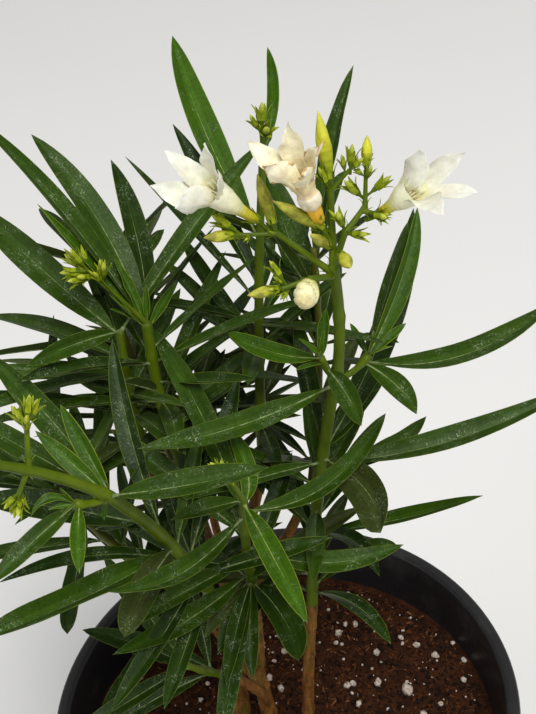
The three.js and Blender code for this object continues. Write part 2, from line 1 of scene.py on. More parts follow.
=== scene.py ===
# %% [markdown]
# # A white-flowered oleander in its nursery pot
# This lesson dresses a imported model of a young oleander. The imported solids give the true
# size, the place of every stem and the tip of every leaf. Blender adds what they leave out:
# the curve and the ribs of each leaf, the bark, the petals and the loose coir in the pot.
# Lengths are in millimetres, and MM turns them into Blender's metres where a mesh is made.

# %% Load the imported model
import math

import bmesh
import bpy
from mathutils import Matrix, Vector, kdtree, noise


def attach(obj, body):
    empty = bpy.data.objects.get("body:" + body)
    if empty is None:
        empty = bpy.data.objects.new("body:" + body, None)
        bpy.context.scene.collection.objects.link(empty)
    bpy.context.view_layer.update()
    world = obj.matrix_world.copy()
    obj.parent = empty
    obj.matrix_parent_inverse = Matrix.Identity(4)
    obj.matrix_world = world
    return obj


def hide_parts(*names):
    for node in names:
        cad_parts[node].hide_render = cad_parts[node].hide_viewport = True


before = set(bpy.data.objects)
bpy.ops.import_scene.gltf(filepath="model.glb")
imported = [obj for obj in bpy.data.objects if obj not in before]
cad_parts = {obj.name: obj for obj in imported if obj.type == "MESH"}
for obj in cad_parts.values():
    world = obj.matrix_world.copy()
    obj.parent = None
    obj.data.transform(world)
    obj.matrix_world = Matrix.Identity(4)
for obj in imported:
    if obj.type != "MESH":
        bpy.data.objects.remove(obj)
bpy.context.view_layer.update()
MM = 0.001
TURN = 2 * math.pi

# %% [markdown]
# ## The camera
# The photo looks down on the plant from standing height, a little rolled. A camera could be
# moved about until the picture looks right. The rim of the pot is a circle of known size,
# though, and its ellipse gives the camera's place and slope, so those are numbers here. The
# camera comes first, because everything after it can then be looked at as the photo is.

# %% Set up the camera
CAMERA_AT = Vector((17.5, -380.0, 773.75))
LOOK_DOWN = math.radians(39.6)
ROLL = math.radians(8.05)
FOCAL_PIXELS = 1200.0
PHOTO_HEIGHT = 714
SENSOR = 36.0

forward = Vector((0, math.cos(LOOK_DOWN), -math.sin(LOOK_DOWN)))
level_up = Vector((0, math.sin(LOOK_DOWN), math.cos(LOOK_DOWN)))
level_right = Vector((1, 0, 0))
camera_right = level_right * math.cos(ROLL) - level_up * math.sin(ROLL)
camera_up = level_right * math.sin(ROLL) + level_up * math.cos(ROLL)

camera_data = bpy.data.cameras.new("photo_camera")
camera_data.sensor_width = SENSOR
camera_data.sensor_height = SENSOR
camera_data.lens = FOCAL_PIXELS / PHOTO_HEIGHT * SENSOR
camera_data.clip_start = 0.02
camera_data.clip_end = 60
camera = bpy.data.objects.new("photo_camera", camera_data)
bpy.context.scene.collection.objects.link(camera)
camera.matrix_world = Matrix((
    (camera_right.x, camera_up.x, -forward.x, CAMERA_AT.x * MM),
    (camera_right.y, camera_up.y, -forward.y, CAMERA_AT.y * MM),
    (camera_right.z, camera_up.z, -forward.z, CAMERA_AT.z * MM),
    (0, 0, 0, 1),
))
bpy.context.scene.camera = camera
print("camera set, lens", round(camera_data.lens, 2), "mm")

# %% [markdown]
# ## Shader sums in plain Python
# A material is a net of nodes, and most of them only add, multiply or compare. They could
# be laid and wired one by one, which takes many lines and hides the sum that they make. A
# small class that wraps a socket lets Python's own operators add those nodes, so a mask
# reads as a sum. Every other node comes from one method that takes its type, its settings
# and the values of its sockets. Colours go through Mix nodes, because a Math node turns
# them grey.

# %% The socket class
class Socket:
    """An output of a shader node that grows Math nodes when it meets an operator."""

    def __init__(self, finish, output):
        self.finish = finish
        self.output = output

    def sum_with(self, operation, *values):
        """A Math node on values of which one at least is a socket."""
        return self.finish.node("ShaderNodeMath", {"operation": operation}, values)

    def __add__(self, other):
        return self.sum_with("ADD", self, other)

    def __radd__(self, other):
        return self.sum_with("ADD", other, self)

    def __sub__(self, other):
        return self.sum_with("SUBTRACT", self, other)

    def __rsub__(self, other):
        return self.sum_with("SUBTRACT", other, self)

    def __mul__(self, other):
        return self.sum_with("MULTIPLY", self, other)

    def __rmul__(self, other):
        return self.sum_with("MULTIPLY", other, self)

    def between(self, low, high):
        """0 below low, 1 above high and a soft step from one to the other."""
        return self.finish.node("ShaderNodeMapRange", {"interpolation_type": "SMOOTHSTEP"},
                                {"Value": self, "From Min": low, "From Max": high})


print("a socket answers to +, - and *, on either side of a number")

# %% The finish class
# A Mix node keeps sockets for numbers, vectors and colours, and these are the colours' own.
MIX_FACTOR, MIX_FIRST, MIX_SECOND, MIX_RESULT = 0, 6, 7, 2


class Finish:
    """A procedural material round one Principled BSDF."""

    def __init__(self, name, **constants):
        self.material = bpy.data.materials.new(name)
        self.material.use_nodes = True
        self.tree = self.material.node_tree
        self.shader = self.tree.nodes["Principled BSDF"]
        for key, value in constants.items():
            label = key.replace("_", " ").title().replace("Ior", "IOR")
            self.shader.inputs[label].default_value = value

    def node(self, kind, settings=None, values=(), output=0):
        """Any node: its type, its settings, its sockets' values or links, and an output."""
        node = self.tree.nodes.new(kind)
        for key, value in (settings or {}).items():
            if key == "stops":
                while len(node.color_ramp.elements) < len(value):
                    node.color_ramp.elements.new(1)
                for element, (place, colour) in zip(node.color_ramp.elements, value):
                    element.position = place
                    element.color = (*colour, 1)
            else:
                setattr(node, key, value)
        pairs = values.items() if isinstance(values, dict) else enumerate(values)
        for key, value in pairs:
            if isinstance(value, Socket):
                self.tree.links.new(value.output, node.inputs[key])
            else:
                node.inputs[key].default_value = value
        return Socket(self, node.outputs[output])

    def feed(self, key, socket):
        """Leads a socket into an input of the Principled BSDF."""
        self.tree.links.new(socket.output, self.shader.inputs[key])

    def place(self, stretch):
        """The point on the object in millimetres, times a number for each axis."""
        point = self.node("ShaderNodeTexCoord", output="Object")
        scale = tuple(axis / MM for axis in stretch)
        return self.node("ShaderNodeMapping", {"vector_type": "POINT"},
                         {"Vector": point, "Scale": scale})

    def speckle(self, size, detail=2.0, stretch=(1, 1, 1), distortion=0.0):
        """Cloudy noise from 0 to 1 whose patches are about size millimetres across."""
        return self.node("ShaderNodeTexNoise", {}, {
            "Vector": self.place(stretch), "Scale": 1 / size, "Detail": detail,
            "Roughness": 0.55, "Distortion": distortion,
        })

    def mix(self, factor, first, second):
        """The first colour where the factor is 0, and the second where it is 1."""
        def full(colour):
            return colour if isinstance(colour, Socket) else (*colour, 1)
        return self.node("ShaderNodeMix", {"data_type": "RGBA"}, {
            MIX_FACTOR: factor, MIX_FIRST: full(first), MIX_SECOND: full(second),
        }, output=MIX_RESULT)

    def relief(self, height, depth):
        """Bumps that stand depth millimetres out where height is 1."""
        bump = self.node("ShaderNodeBump", {},
                         {"Strength": 1.0, "Distance": depth * MM, "Height": height})
        self.feed("Normal", bump)


print("finish class ready")

# %% [markdown]
# ## Chance that is the same on any machine
# Leaves differ, but the plant has to come out the same each time. Python's own random
# module can be seeded too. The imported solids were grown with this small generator, though,
# so only the same one gives the same leaves.

# %% The chance generator
PRIME = 2147483647
FACTOR = 16807
SEED_FACTOR = 7919
SEED_START = 104729
WARM_UP = 3


class Chance:
    """Numbers from 0 to 1 that follow from a seed."""

    def __init__(self, seed):
        self.state = (seed * SEED_FACTOR + SEED_START) % PRIME
        for _ in range(WARM_UP):
            self.next()

    def next(self):
        self.state = (self.state * FACTOR) % PRIME
        return self.state / PRIME

    def between(self, low, high):
        return low + (high - low) * self.next()

    def direction(self):
        """A direction in space, all equally likely."""
        height = self.between(-1, 1)
        angle = TURN * self.next()
        across = math.sqrt(1 - height * height)
        return Vector((across * math.cos(angle), across * math.sin(angle), height))


print("first chance of seed 1 is", round(Chance(1).next(), 4))

# %% [markdown]
# ## Limbs
# Stems, boughs and shoots are living rods, each with one gentle bend. Blender's own curves
# could draw them, but leaves have to be set round them by an angle. So a limb here is a
# smooth curve with three handles: where it starts, where it bends and where it ends. A frame
# at each place along it tells which way it runs and what lies to its right and its back.

# %% The limb class
FLARE_FADE = 9


def aslant(axes, turn, opening):
    """A direction at a turn round a line and an opening away from it, in degrees."""
    along, right, back = axes
    turn, opening = math.radians(turn), math.radians(opening)
    out = right * math.cos(turn) + back * math.sin(turn)
    return out * math.sin(opening) + along * math.cos(opening)


class Limb:
    """A curved limb in millimetres."""

    def __init__(self, foot, tip, bend=None, girth=(1, 1), flare=0.0):
        self.foot, self.tip = Vector(foot), Vector(tip)
        self.bend = Vector(bend) if bend else (self.foot + self.tip) / 2
        self.girth, self.flare = girth, flare
        self.length = (self.tip - self.foot).length

    def at(self, share):
        """The point at a share of the way from foot to tip."""
        near = self.foot.lerp(self.bend, share)
        far = self.bend.lerp(self.tip, share)
        return near.lerp(far, share)

    def axes(self, share):
        """Which way the limb runs there, its right and its back."""
        along = (self.bend - self.foot) * (1 - share) + (self.tip - self.bend) * share
        along.normalize()
        right = Vector((1, 0, 0)) - along * along.x
        right.normalize()
        return along, right, along.cross(right)

    def radius(self, share):
        """The radius there, with the root's flare."""
        start, end = self.girth
        return start + (end - start) * share + self.flare * math.exp(-share * FLARE_FADE)


print("limb helper ready")

# %% [markdown]
# ## A collector for each kind of piece
# Hundreds of leaves as hundreds of objects would be slow and hard to handle, and instances
# of one leaf couldn't each have their own bend. So each kind is collected as plain points
# and faces, and becomes one joined mesh at the end.

# %% The shape collector
class Shape:
    """Points and faces of one kind, in millimetres, that become one object."""

    def __init__(self):
        self.points = []
        self.faces = []
        self.bands = []

    def add(self, points, faces, bands=0):
        """Adds points and faces, with a finish's number for each face or for all."""
        start = len(self.points)
        self.points.extend(points)
        self.faces.extend(tuple(start + i for i in face) for face in faces)
        self.bands.extend(bands if isinstance(bands, list) else [bands] * len(faces))

    def loft(self, rings, bands=0):
        """A closed skin through rings of points; a ring of one point is a tip.

        A band is the number of the finish between one ring and the next.
        """
        steps = bands if isinstance(bands, list) else [bands] * (len(rings) - 1)
        points, faces, finish, starts = [], [], [], []
        for ring in rings:
            starts.append(len(points))
            points.extend(ring)
        for i, band in enumerate(steps):
            low, high = len(rings[i]), len(rings[i + 1])
            for j in range(max(low, high)):
                k = (j + 1) % max(low, high)
                a, b = starts[i] + j % low, starts[i] + k % low
                c, d = starts[i + 1] + k % high, starts[i + 1] + j % high
                faces.append(tuple(dict.fromkeys([a, b, c, d])))
                finish.append(band)
        if len(rings[0]) > 2:
            faces.append(tuple(range(len(rings[0]) - 1, -1, -1)))
            finish.append(steps[0])
        if len(rings[-1]) > 2:
            faces.append(tuple(starts[-1] + j for j in range(len(rings[-1]))))
            finish.append(steps[-1])
        self.add(points, faces, finish)

    def make(self, name, finishes, slot, replaces=(), smooth_below=45):
        """One object of all that was added, riding on the part's only body."""
        mesh = bpy.data.meshes.new(name)
        mesh.from_pydata([point * MM for point in self.points], [], self.faces)
        mesh.update()
        for finish in finishes:
            mesh.materials.append(finish.material)
        mesh.polygons.foreach_set("material_index", self.bands)
        mesh.shade_smooth()
        mesh.set_sharp_from_angle(angle=math.radians(smooth_below))
        piece = bpy.data.objects.new(name, mesh)
        bpy.context.scene.collection.objects.link(piece)
        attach(piece, "root")
        if replaces:
            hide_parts(*replaces)
        corners = sum(len(face) - 2 for face in self.faces)
        print(name, "made,", corners, "triangles")
        return piece


print("shape collector ready")

# %% Rings of points
def ring_of(middle, axes, radius, sides, turn=0.0):
    """A ring of points square to a line; radius may be a number or a rule of the angle."""
    _, right, back = axes
    points = []
    for i in range(sides):
        angle = TURN * i / sides + turn
        reach = radius(angle) if callable(radius) else radius
        points.append(middle + right * (reach * math.cos(angle)) + back * (reach * math.sin(angle)))
    return points


LEVEL = (Vector((0, 0, 1)), Vector((1, 0, 0)), Vector((0, 1, 0)))
print("ring helper ready, a level ring lies square to", tuple(LEVEL[0]))

# %% [markdown]
# ## The pot
# The pot is a ten-inch nursery pot of thin black plastic with a plain band round its rim. A
# Screw modifier could turn it from a curve. Here a loop turns a profile as a lathe would, so
# that each of its radii and heights follows from the pot's named sizes. Bare black would look
# unreal, so the plastic carries a little dust and fine scuffs.

# %% Outline the pot
POT = {
    "rim": 125.0, "height": 220.0, "band_depth": 11.0, "band": 6.5, "wall": 2.2, "foot": 92.0,
    "base": 3.0, "sides": 128, "wall_rows": 24,
}
WALL_SLOPE = (POT["rim"] - POT["band"] - POT["foot"]) / (POT["height"] - POT["band_depth"])


def inner_radius(height):
    """The inside of the pot's wall at a height."""
    return POT["foot"] - POT["wall"] + WALL_SLOPE * height


def pot_profile():
    """Radius and height, from the middle of the underside up and back down inside."""
    rim, top, band = POT["rim"], POT["height"], POT["height"] - POT["band_depth"]
    neck = rim - POT["band"]
    rows = [(0.0, 0.0), (60.0, 0.0), (POT["foot"] - 3, 0.0), (POT["foot"] - 1.2, 0.6),
            (POT["foot"], 2.4)]
    steps = POT["wall_rows"]
    for i in range(1, steps):
        height = 2.4 + (band - 5.4) * i / steps
        rows.append((POT["foot"] + WALL_SLOPE * height, height))
    rows += [(neck - 0.6, band - 3), (neck + 0.2, band - 1), (rim - 1.6, band - 0.2),
             (rim - 0.4, band + 0.6), (rim, band + 2), (rim, top - 2.2), (rim - 0.5, top - 0.9),
             (rim - 1.7, top - 0.1), (rim - 3.4, top), (inner_radius(top) + 1.6, top - 0.1),
             (inner_radius(top) + 0.4, top - 0.8), (inner_radius(top - 2.4), top - 2.4)]
    for i in range(1, steps):
        height = top - 2.4 - (top - 2.4 - POT["base"]) * i / steps
        rows.append((inner_radius(height), height))
    rows += [(inner_radius(POT["base"]), POT["base"]), (40.0, POT["base"]), (0.0, POT["base"])]
    return rows


print("pot outlined by", len(pot_profile()), "points, its slope", round(WALL_SLOPE, 3))

# %% Turn the pot
pot = Shape()
pot_rings = []
for radius, height in pot_profile():
    middle = Vector((0, 0, height))
    pot_rings.append(ring_of(middle, LEVEL, radius, POT["sides"]) if radius else [middle])
pot.loft(pot_rings)

plastic = Finish("black_plastic", roughness=0.42, base_color=(0.012, 0.012, 0.013, 1))
dust = plastic.speckle(34, 4).between(0.5, 0.78)
scuff = plastic.speckle(2.2, 3, stretch=(1, 1, 0.16)).between(0.58, 0.7)
plastic.feed("Base Color", plastic.mix(dust * 0.5 + scuff * 0.12, (0.0105, 0.0105, 0.0115),
                                       (0.045, 0.042, 0.04)))
plastic.feed("Roughness", 0.36 + dust * 0.22 + scuff * 0.12)
plastic.relief(plastic.speckle(0.7, 2) + plastic.speckle(9, 1) * 2, 0.05)
pot_piece = pot.make("pot_shell", [plastic], "pot", ["pot"])

# %% [markdown]
# ## The drain holes
# Water leaves such a pot through round holes near the edge of its floor. A turned profile
# can't have them, and cutting them into the floor's faces one by one would be tedious. So
# short rods stand where the holes are, and a Boolean modifier takes them out of the pot.

# %% Cut the drain holes
DRAIN = {"count": 8, "radius": 6.0, "ring": 72.0, "sides": 24}
drains = Shape()
for i in range(DRAIN["count"]):
    angle = TURN * (i + 0.5) / DRAIN["count"]
    middle = Vector((DRAIN["ring"] * math.cos(angle), DRAIN["ring"] * math.sin(angle), 0))
    drains.loft([ring_of(middle + Vector((0, 0, z)), LEVEL, DRAIN["radius"], DRAIN["sides"])
                 for z in (-1, POT["base"] + 1)])
drill_mesh = bpy.data.meshes.new("drill")
drill_mesh.from_pydata([point * MM for point in drains.points], [], drains.faces)
drill = bpy.data.objects.new("drill", drill_mesh)
bpy.context.scene.collection.objects.link(drill)
cut = pot_piece.modifiers.new("drain_holes", "BOOLEAN")
cut.operation = "DIFFERENCE"
cut.solver = "EXACT"
cut.object = drill
drilled = bpy.data.meshes.new_from_object(
    pot_piece.evaluated_get(bpy.context.evaluated_depsgraph_get()))
pot_piece.modifiers.remove(cut)
pot_piece.data = drilled
bpy.data.objects.remove(drill)
print("drain holes cut,", len(drilled.polygons), "faces on the pot")

# %% [markdown]
# ## The coir
# The pot is filled with moist coir, a dark red-brown stuff that lies rough and sinks a
# little towards the wall. Bump alone would look flat from so near. So the bed is a mesh whose
# rings of points are raised and lowered by noise. Its side and its bottom stay just clear of
# the pot.

# %% Shape the rough surface
SOIL_TOP = 190.0
BED = {
    "rings": 64, "sides": 168, "gap": 0.3, "below_top": 1.6, "radius": 113.0, "sinks": 2.2,
    "waves": 1.5, "wave_size": 22, "crumbs": 0.9, "crumb_size": 5,
}


def bed_height(x, y):
    """How high the rough bed lies, a little lower towards the wall."""
    place = Vector((x, y, 0))
    waves = BED["waves"] * noise.fractal(place / BED["wave_size"], 1.0, 2.0, 3)
    aside = place / BED["crumb_size"] + Vector((9, 3, 5))
    crumbs = BED["crumbs"] * noise.fractal(aside, 0.9, 2.0, 3)
    sunk = BED["sinks"] * (math.hypot(x, y) / BED["radius"]) ** 4
    return SOIL_TOP - BED["below_top"] + waves + crumbs - sunk


print("the bed's middle lies", round(bed_height(0, 0), 1), "mm up")

# %% Build the bed
bed = Shape()
bed_edge = inner_radius(SOIL_TOP) - 0.5
bed_points = [Vector((0, 0, bed_height(0, 0)))]
for i in range(1, BED["rings"] + 1):
    reach = bed_edge * (i / BED["rings"]) ** 0.8
    for j in range(BED["sides"]):
        angle = TURN * (j + 0.5 * (i % 2)) / BED["sides"]
        x, y = reach * math.cos(angle), reach * math.sin(angle)
        bed_points.append(Vector((x, y, bed_height(x, y))))
bed_faces = [(0, 1 + j, 1 + (j + 1) % BED["sides"]) for j in range(BED["sides"])]
for i in range(BED["rings"] - 1):
    low = 1 + i * BED["sides"]
    high = low + BED["sides"]
    for j in range(BED["sides"]):
        k = (j + 1) % BED["sides"]
        bed_faces.append((low + j, high + j, high + k, low + k))
low_start = len(bed_points)
last_ring = low_start - BED["sides"]
low_radius = inner_radius(POT["base"]) - 2 * BED["gap"]
low_middle = Vector((0, 0, POT["base"] + BED["gap"]))
bed_points += ring_of(low_middle, LEVEL, low_radius, BED["sides"])
for j in range(BED["sides"]):
    k = (j + 1) % BED["sides"]
    bed_faces.append((last_ring + j, low_start + j, low_start + k, last_ring + k))
bed_faces.append(tuple(range(low_start + BED["sides"] - 1, low_start - 1, -1)))
bed.add(bed_points, bed_faces)
print("bed shaped, its radius", round(bed_edge, 1), "mm")

# %% Mix the coir
coir = Finish("moist_coir", roughness=0.85, specular_ior_level=0.12)
patch = coir.speckle(9, 5)
grain = coir.speckle(1.1, 4, distortion=0.8)
coir.feed("Base Color", coir.node("ShaderNodeValToRGB", {"stops": [
    (0.25, (0.006, 0.0022, 0.001)), (0.45, (0.018, 0.0055, 0.0018)),
    (0.62, (0.046, 0.014, 0.004)), (0.8, (0.095, 0.034, 0.011)),
]}, {"Fac": patch * 0.55 + grain * 0.5}))
coir.feed("Roughness", 0.62 + grain * 0.35)
coir.relief(grain + patch * 1.5, 0.9)
bed.make("coir_bed", [coir], "soil", ["soil"])

# %% [markdown]
# ## Crumbs, chips and fibres
# Coir is shredded husk, so dark and red crumbs, tan chips and loose fibres lie all over it.
# Particles could strew them, and would have to be turned into meshes afterwards. A loop that
# sets bent little boxes and thin rods on the bed gives such meshes at once.

# %% A dull finish of two tones
def tinted(name, dark, light, size, roughness=0.85, relief=0.15):
    """A dull finish that wanders between two tones."""
    finish = Finish(name, roughness=roughness, specular_ior_level=0.15)
    shade = finish.speckle(size, 3)
    finish.feed("Base Color", finish.mix(shade.between(0.3, 0.7), dark, light))
    finish.relief(finish.speckle(size * 0.4, 2), relief)
    return finish


dark_crumb = tinted("dark_coir", (0.005, 0.002, 0.001), (0.020, 0.007, 0.0024), 2)
red_crumb = tinted("red_coir", (0.026, 0.008, 0.0024), (0.085, 0.026, 0.006), 2)
tan_chip = tinted("tan_coir", (0.07, 0.028, 0.009), (0.16, 0.072, 0.026), 2)
print("three finishes for the crumbs mixed")

# %% Strew the crumbs and chips
STREWN_RADIUS = 110.0
CHIP_CORNERS = [Vector((x, y, z)) for x in (-1, 1) for y in (-1, 1) for z in (-1, 1)]
CHIP_FACES = [(0, 1, 3, 2), (4, 6, 7, 5), (0, 4, 5, 1), (2, 3, 7, 6), (0, 2, 6, 4), (1, 5, 7, 3)]


def turned_by_chance(chance):
    """A rotation about any line by any angle."""
    return Matrix.Rotation(TURN * chance.next(), 3, chance.direction())


def on_bed(chance):
    """A place on the bed, all equally likely."""
    angle = TURN * chance.next()
    radius = STREWN_RADIUS * math.sqrt(chance.next())
    x, y = radius * math.cos(angle), radius * math.sin(angle)
    return Vector((x, y, bed_height(x, y)))


def strew_chips(name, count, long, thick, finish, seed):
    """So many bent boxes on the bed, up to so long and so thick."""
    chips = Shape()
    chance = Chance(seed)
    for _ in range(count):
        middle = on_bed(chance)
        size = chance.between(0.35, 1.0) ** 1.6
        half = Vector((long * size, thick * size * chance.between(0.7, 1.3), thick * size)) / 2
        spin = turned_by_chance(chance)
        points = []
        for corner in CHIP_CORNERS:
            bent = Vector([c * h * chance.between(0.55, 1.2) for c, h in zip(corner, half)])
            points.append(middle + spin @ bent + Vector((0, 0, half.y * 0.6)))
        chips.add(points, CHIP_FACES)
    chips.make(name, [finish], "soil", smooth_below=30)


strew_chips("coir_crumbs_dark", 3600, 3.0, 1.9, dark_crumb, 11)
strew_chips("coir_crumbs_red", 3000, 3.4, 1.7, red_crumb, 12)
strew_chips("coir_chips_tan", 420, 4.2, 1.1, tan_chip, 13)

# %% Strew the fibres
FIBRES = 260
fibres = Shape()
fibre_chance = Chance(14)
for _ in range(FIBRES):
    start = on_bed(fibre_chance) + Vector((0, 0, 0.8))
    heading = TURN * fibre_chance.next()
    reach = fibre_chance.between(4, 13)
    away = Vector((math.cos(heading), math.sin(heading), 0)) * reach
    across = Vector((-away.y, away.x, 0)) * fibre_chance.between(-0.5, 0.5)
    strand = Limb(start, start + away + Vector((0, 0, fibre_chance.between(-0.6, 0.8))),
                  start + away / 2 + across + Vector((0, 0, fibre_chance.between(0.3, 2))))
    thin = fibre_chance.between(0.1, 0.24)
    fibres.loft([ring_of(strand.at(i / 6), strand.axes(i / 6), thin, 4) for i in range(7)])
fibres.make("coir_fibres", [tinted("coir_fibre", (0.035, 0.014, 0.006), (0.12, 0.055, 0.02), 4)],
            "soil")

# %% [markdown]
# ## Perlite
# White grains of perlite keep the coir loose. Plain spheres would look like beads, so each
# grain is a fine ball with its points pushed in and out by noise. The large grains that the
# photo shows are placed one by one, and chance strews the small ones. Wet coir stains them,
# so their white is clean only in patches.

# %% Build a grain
GRAIN = {"dents": 0.28, "dents_across": 1.4, "pits": 0.07, "pits_across": 4}
ball = bmesh.new()
bmesh.ops.create_icosphere(ball, subdivisions=3, radius=1)
BALL_POINTS = [vert.co.copy() for vert in ball.verts]
BALL_FACES = [tuple(vert.index for vert in face.verts) for face in ball.faces]
ball.free()


def lump(shape, middle, size, chance):
    """A rounded grain with dents."""
    spin = turned_by_chance(chance)
    offset = chance.direction() * 20
    squash = Vector([chance.between(0.7, 1.1) for _ in range(3)])
    points = []
    for point in BALL_POINTS:
        dent = 1 + GRAIN["dents"] * noise.noise(point * GRAIN["dents_across"] + offset)
        dent += GRAIN["pits"] * noise.noise(point * GRAIN["pits_across"] + offset)
        shaped = Vector([p * s for p, s in zip(point, squash)])
        points.append(middle + spin @ shaped * (size * dent))
    shape.add(points, BALL_FACES)


print("grain helper ready,", len(BALL_FACES), "triangles a grain")

# %% Strew the perlite
SMALL_GRAINS = 520
perlite = Shape()
perlite_chance = Chance(15)
for _ in range(SMALL_GRAINS):
    size = 0.35 + 2.1 * perlite_chance.next() ** 3
    lump(perlite, on_bed(perlite_chance) + Vector((0, 0, size * 0.55)), size, perlite_chance)
LARGE_GRAINS = [(69, 17, 3.3), (56, 45, 2.5), (36, 63, 2.3), (47, 67, 1.9), (105, 33, 1.8),
                (60, 65, 1.7), (45, 90, 1.8), (101, 45, 1.6), (47, -58, 2.6), (22, -62, 2.2)]
for x, y, size in LARGE_GRAINS:
    lump(perlite, Vector((x, y, bed_height(x, y) + size * 0.6)), size, perlite_chance)
white_grain = Finish("perlite", roughness=0.9, specular_ior_level=0.2)
clean = 1 - white_grain.speckle(1.6, 4).between(0.42, 0.72)
white_grain.feed("Base Color", white_grain.mix(clean, (0.20, 0.12, 0.085), (0.50, 0.43, 0.37)))
white_grain.relief(white_grain.speckle(0.5, 3), 0.18)
perlite.make("perlite_grains", [white_grain], "soil", smooth_below=70)

# %% [markdown]
# ## Woody stems and boughs
# Old oleander wood is orange-brown, with faint rings where leaves once grew and small pale
# pores. A bump map could carry all of it, but would leave the stems' outlines smooth. So the
# relief is in the mesh: each ring of points is moved in and out by noise, and swells at the
# old leaf scars. Each stem runs a little into the coir and into the next limb.

# %% Lay out the stems and boughs
STEMS = {
    "stem_right": Limb([10, -13, 190.3], [22, -2, 300], [14, -6, 250], (3.3, 2.9), 2.2),
    "stem_left": Limb([-7, -7, 190.3], [-14, 2, 292], [-9, -7, 240], (4.3, 3.6), 3.4),
    "stem_back": Limb([-25, 20, 190.3], [-14, 34, 300], [-22, 31, 240], (3.8, 3.2), 2.8),
}
BOUGHS = {
    "bough_left": Limb([-14, 2, 292.3], [-26, 12, 370], [-22, 8, 330], (3.4, 2.9)),
    "bough_back": Limb([-14, 34, 300.3], [8, 38, 365], [0, 34, 330], (3.1, 2.7)),
    "bough_front": Limb([-9, -5.5, 262], [-4, -22, 345], [-6, -20, 300], (3, 2.5)),
    "bough_left_low": Limb([-11, -3, 272], [-22, -32, 352], [-24, -16, 306], (3.2, 2.9)),
    "bough_left_side": Limb([-8, -7, 246], [-32, 2, 304], [-22, -6, 276], (2.9, 2.5)),
    "bough_front_low": Limb([-7.5, -7, 232], [-22, -28, 288], [-10, -20, 262], (2.5, 2.2)),
    "bough_left_outer": Limb([-20.5, 7, 328], [-42, 12, 395], [-36, 6, 360], (2.5, 2.2)),
    "bough_back_left": Limb([-17, 33, 284], [-34, 48, 350], [-28, 40, 315], (2.8, 2.4)),
    "bough_back_right": Limb([-19, 31, 264], [30, 40, 340], [12, 34, 300], (2.8, 2.4)),
    "bough_back_low": Limb([-21.5, 29, 246], [-24, 66, 302], [-20, 50, 276], (2.5, 2.2)),
}
print(len(STEMS), "stems and", len(BOUGHS), "boughs laid out")

# %% Build the skin of a limb
BARK = {"sides": 20, "step": 1.5, "scar_every": 21.0, "scar_wide": 1.3, "scar_high": 0.4,
        "lap": 1.2, "sunk": 3.0, "bough_sunk": 0.5, "ridges": 0.2, "pimples": 0.1, "roots": 0.12}


def add_bark(shape, limb, sunk, seed):
    """The limb's skin, with ridges along it and a swelling at each old leaf scar."""
    steps = max(8, round(limb.length / BARK["step"]))
    rings = []
    for i in range(steps + 1):
        share = i / steps
        along, right, back = limb.axes(share)
        place = limb.at(share)
        if i == 0:
            place = place - along * sunk
        if i == steps:
            place = place + along * BARK["lap"]
        distance = (share * limb.length) % BARK["scar_every"] - BARK["scar_every"] / 2
        swell = BARK["scar_high"] * math.exp(-(distance / BARK["scar_wide"]) ** 2)
        flare = limb.flare * math.exp(-share * FLARE_FADE)
        base = limb.radius(share) - 0.5 * flare

        def reach(angle):
            around = Vector((math.cos(angle), math.sin(angle), 0)) * 1.6
            ridge = noise.noise(around + Vector((seed, seed, place.z / 16)))
            pimple = noise.noise(around * 3.2 + Vector((seed, 0, place.z / 2.2)))
            root = BARK["roots"] * flare * math.cos(3 * angle + seed)
            return base + swell + BARK["ridges"] * ridge + BARK["pimples"] * pimple + root

        axes = LEVEL if limb.flare and i == 0 else (along, right, back)
        rings.append(ring_of(place, axes, reach, BARK["sides"]))
    shape.loft(rings)


print("bark helper ready, a scar each", BARK["scar_every"], "mm")

# %% Mix the bark and make the stems and boughs
bark = Finish("oleander_bark", roughness=0.7, specular_ior_level=0.22)
streak = bark.speckle(2.6, 4, stretch=(1, 1, 0.22))
pore = bark.speckle(0.9, 2, stretch=(1, 1, 0.6)).between(0.63, 0.72)
moss = bark.speckle(17, 3).between(0.5, 0.75)
brown = bark.node("ShaderNodeValToRGB", {"stops": [
    (0.3, (0.055, 0.021, 0.005)), (0.5, (0.155, 0.060, 0.011)), (0.72, (0.25, 0.115, 0.022)),
]}, {"Fac": streak})
green_brown = bark.mix(moss * 0.55, brown, (0.12, 0.11, 0.012))
bark.feed("Base Color", bark.mix(pore * 0.7, green_brown, (0.36, 0.26, 0.16)))
bark.feed("Roughness", 0.55 + streak * 0.3)
bark.relief(streak + pore * 0.6, 0.25)

for number, (name, limb) in enumerate({**STEMS, **BOUGHS}.items()):
    skin = Shape()
    sunk = BARK["sunk"] if limb.flare else BARK["bough_sunk"]
    add_bark(skin, limb, sunk, number * 3.7 + 1)
    skin.make(name + "_bark", [bark], "bark", [name])

# %% [markdown]
# ## The leafy shoots
# Oleander leaves grow in whorls of three, so a rule could deal all of them out. A plant is
# known by the leaves that stand out, though. So each shoot lists those as the photo shows
# them: where each grows along the shoot, its turn and its spread in degrees, its length, its
# droop, and its roll and breadth if they differ. Whorls fill the rest of the shoot, apart
# from an arc that may be bare: how many, from where to where along it, the first one's turn,
# and the leaves' length and spread. A shoot's buds are its tip's: their stalk, how many they
# are and how long.

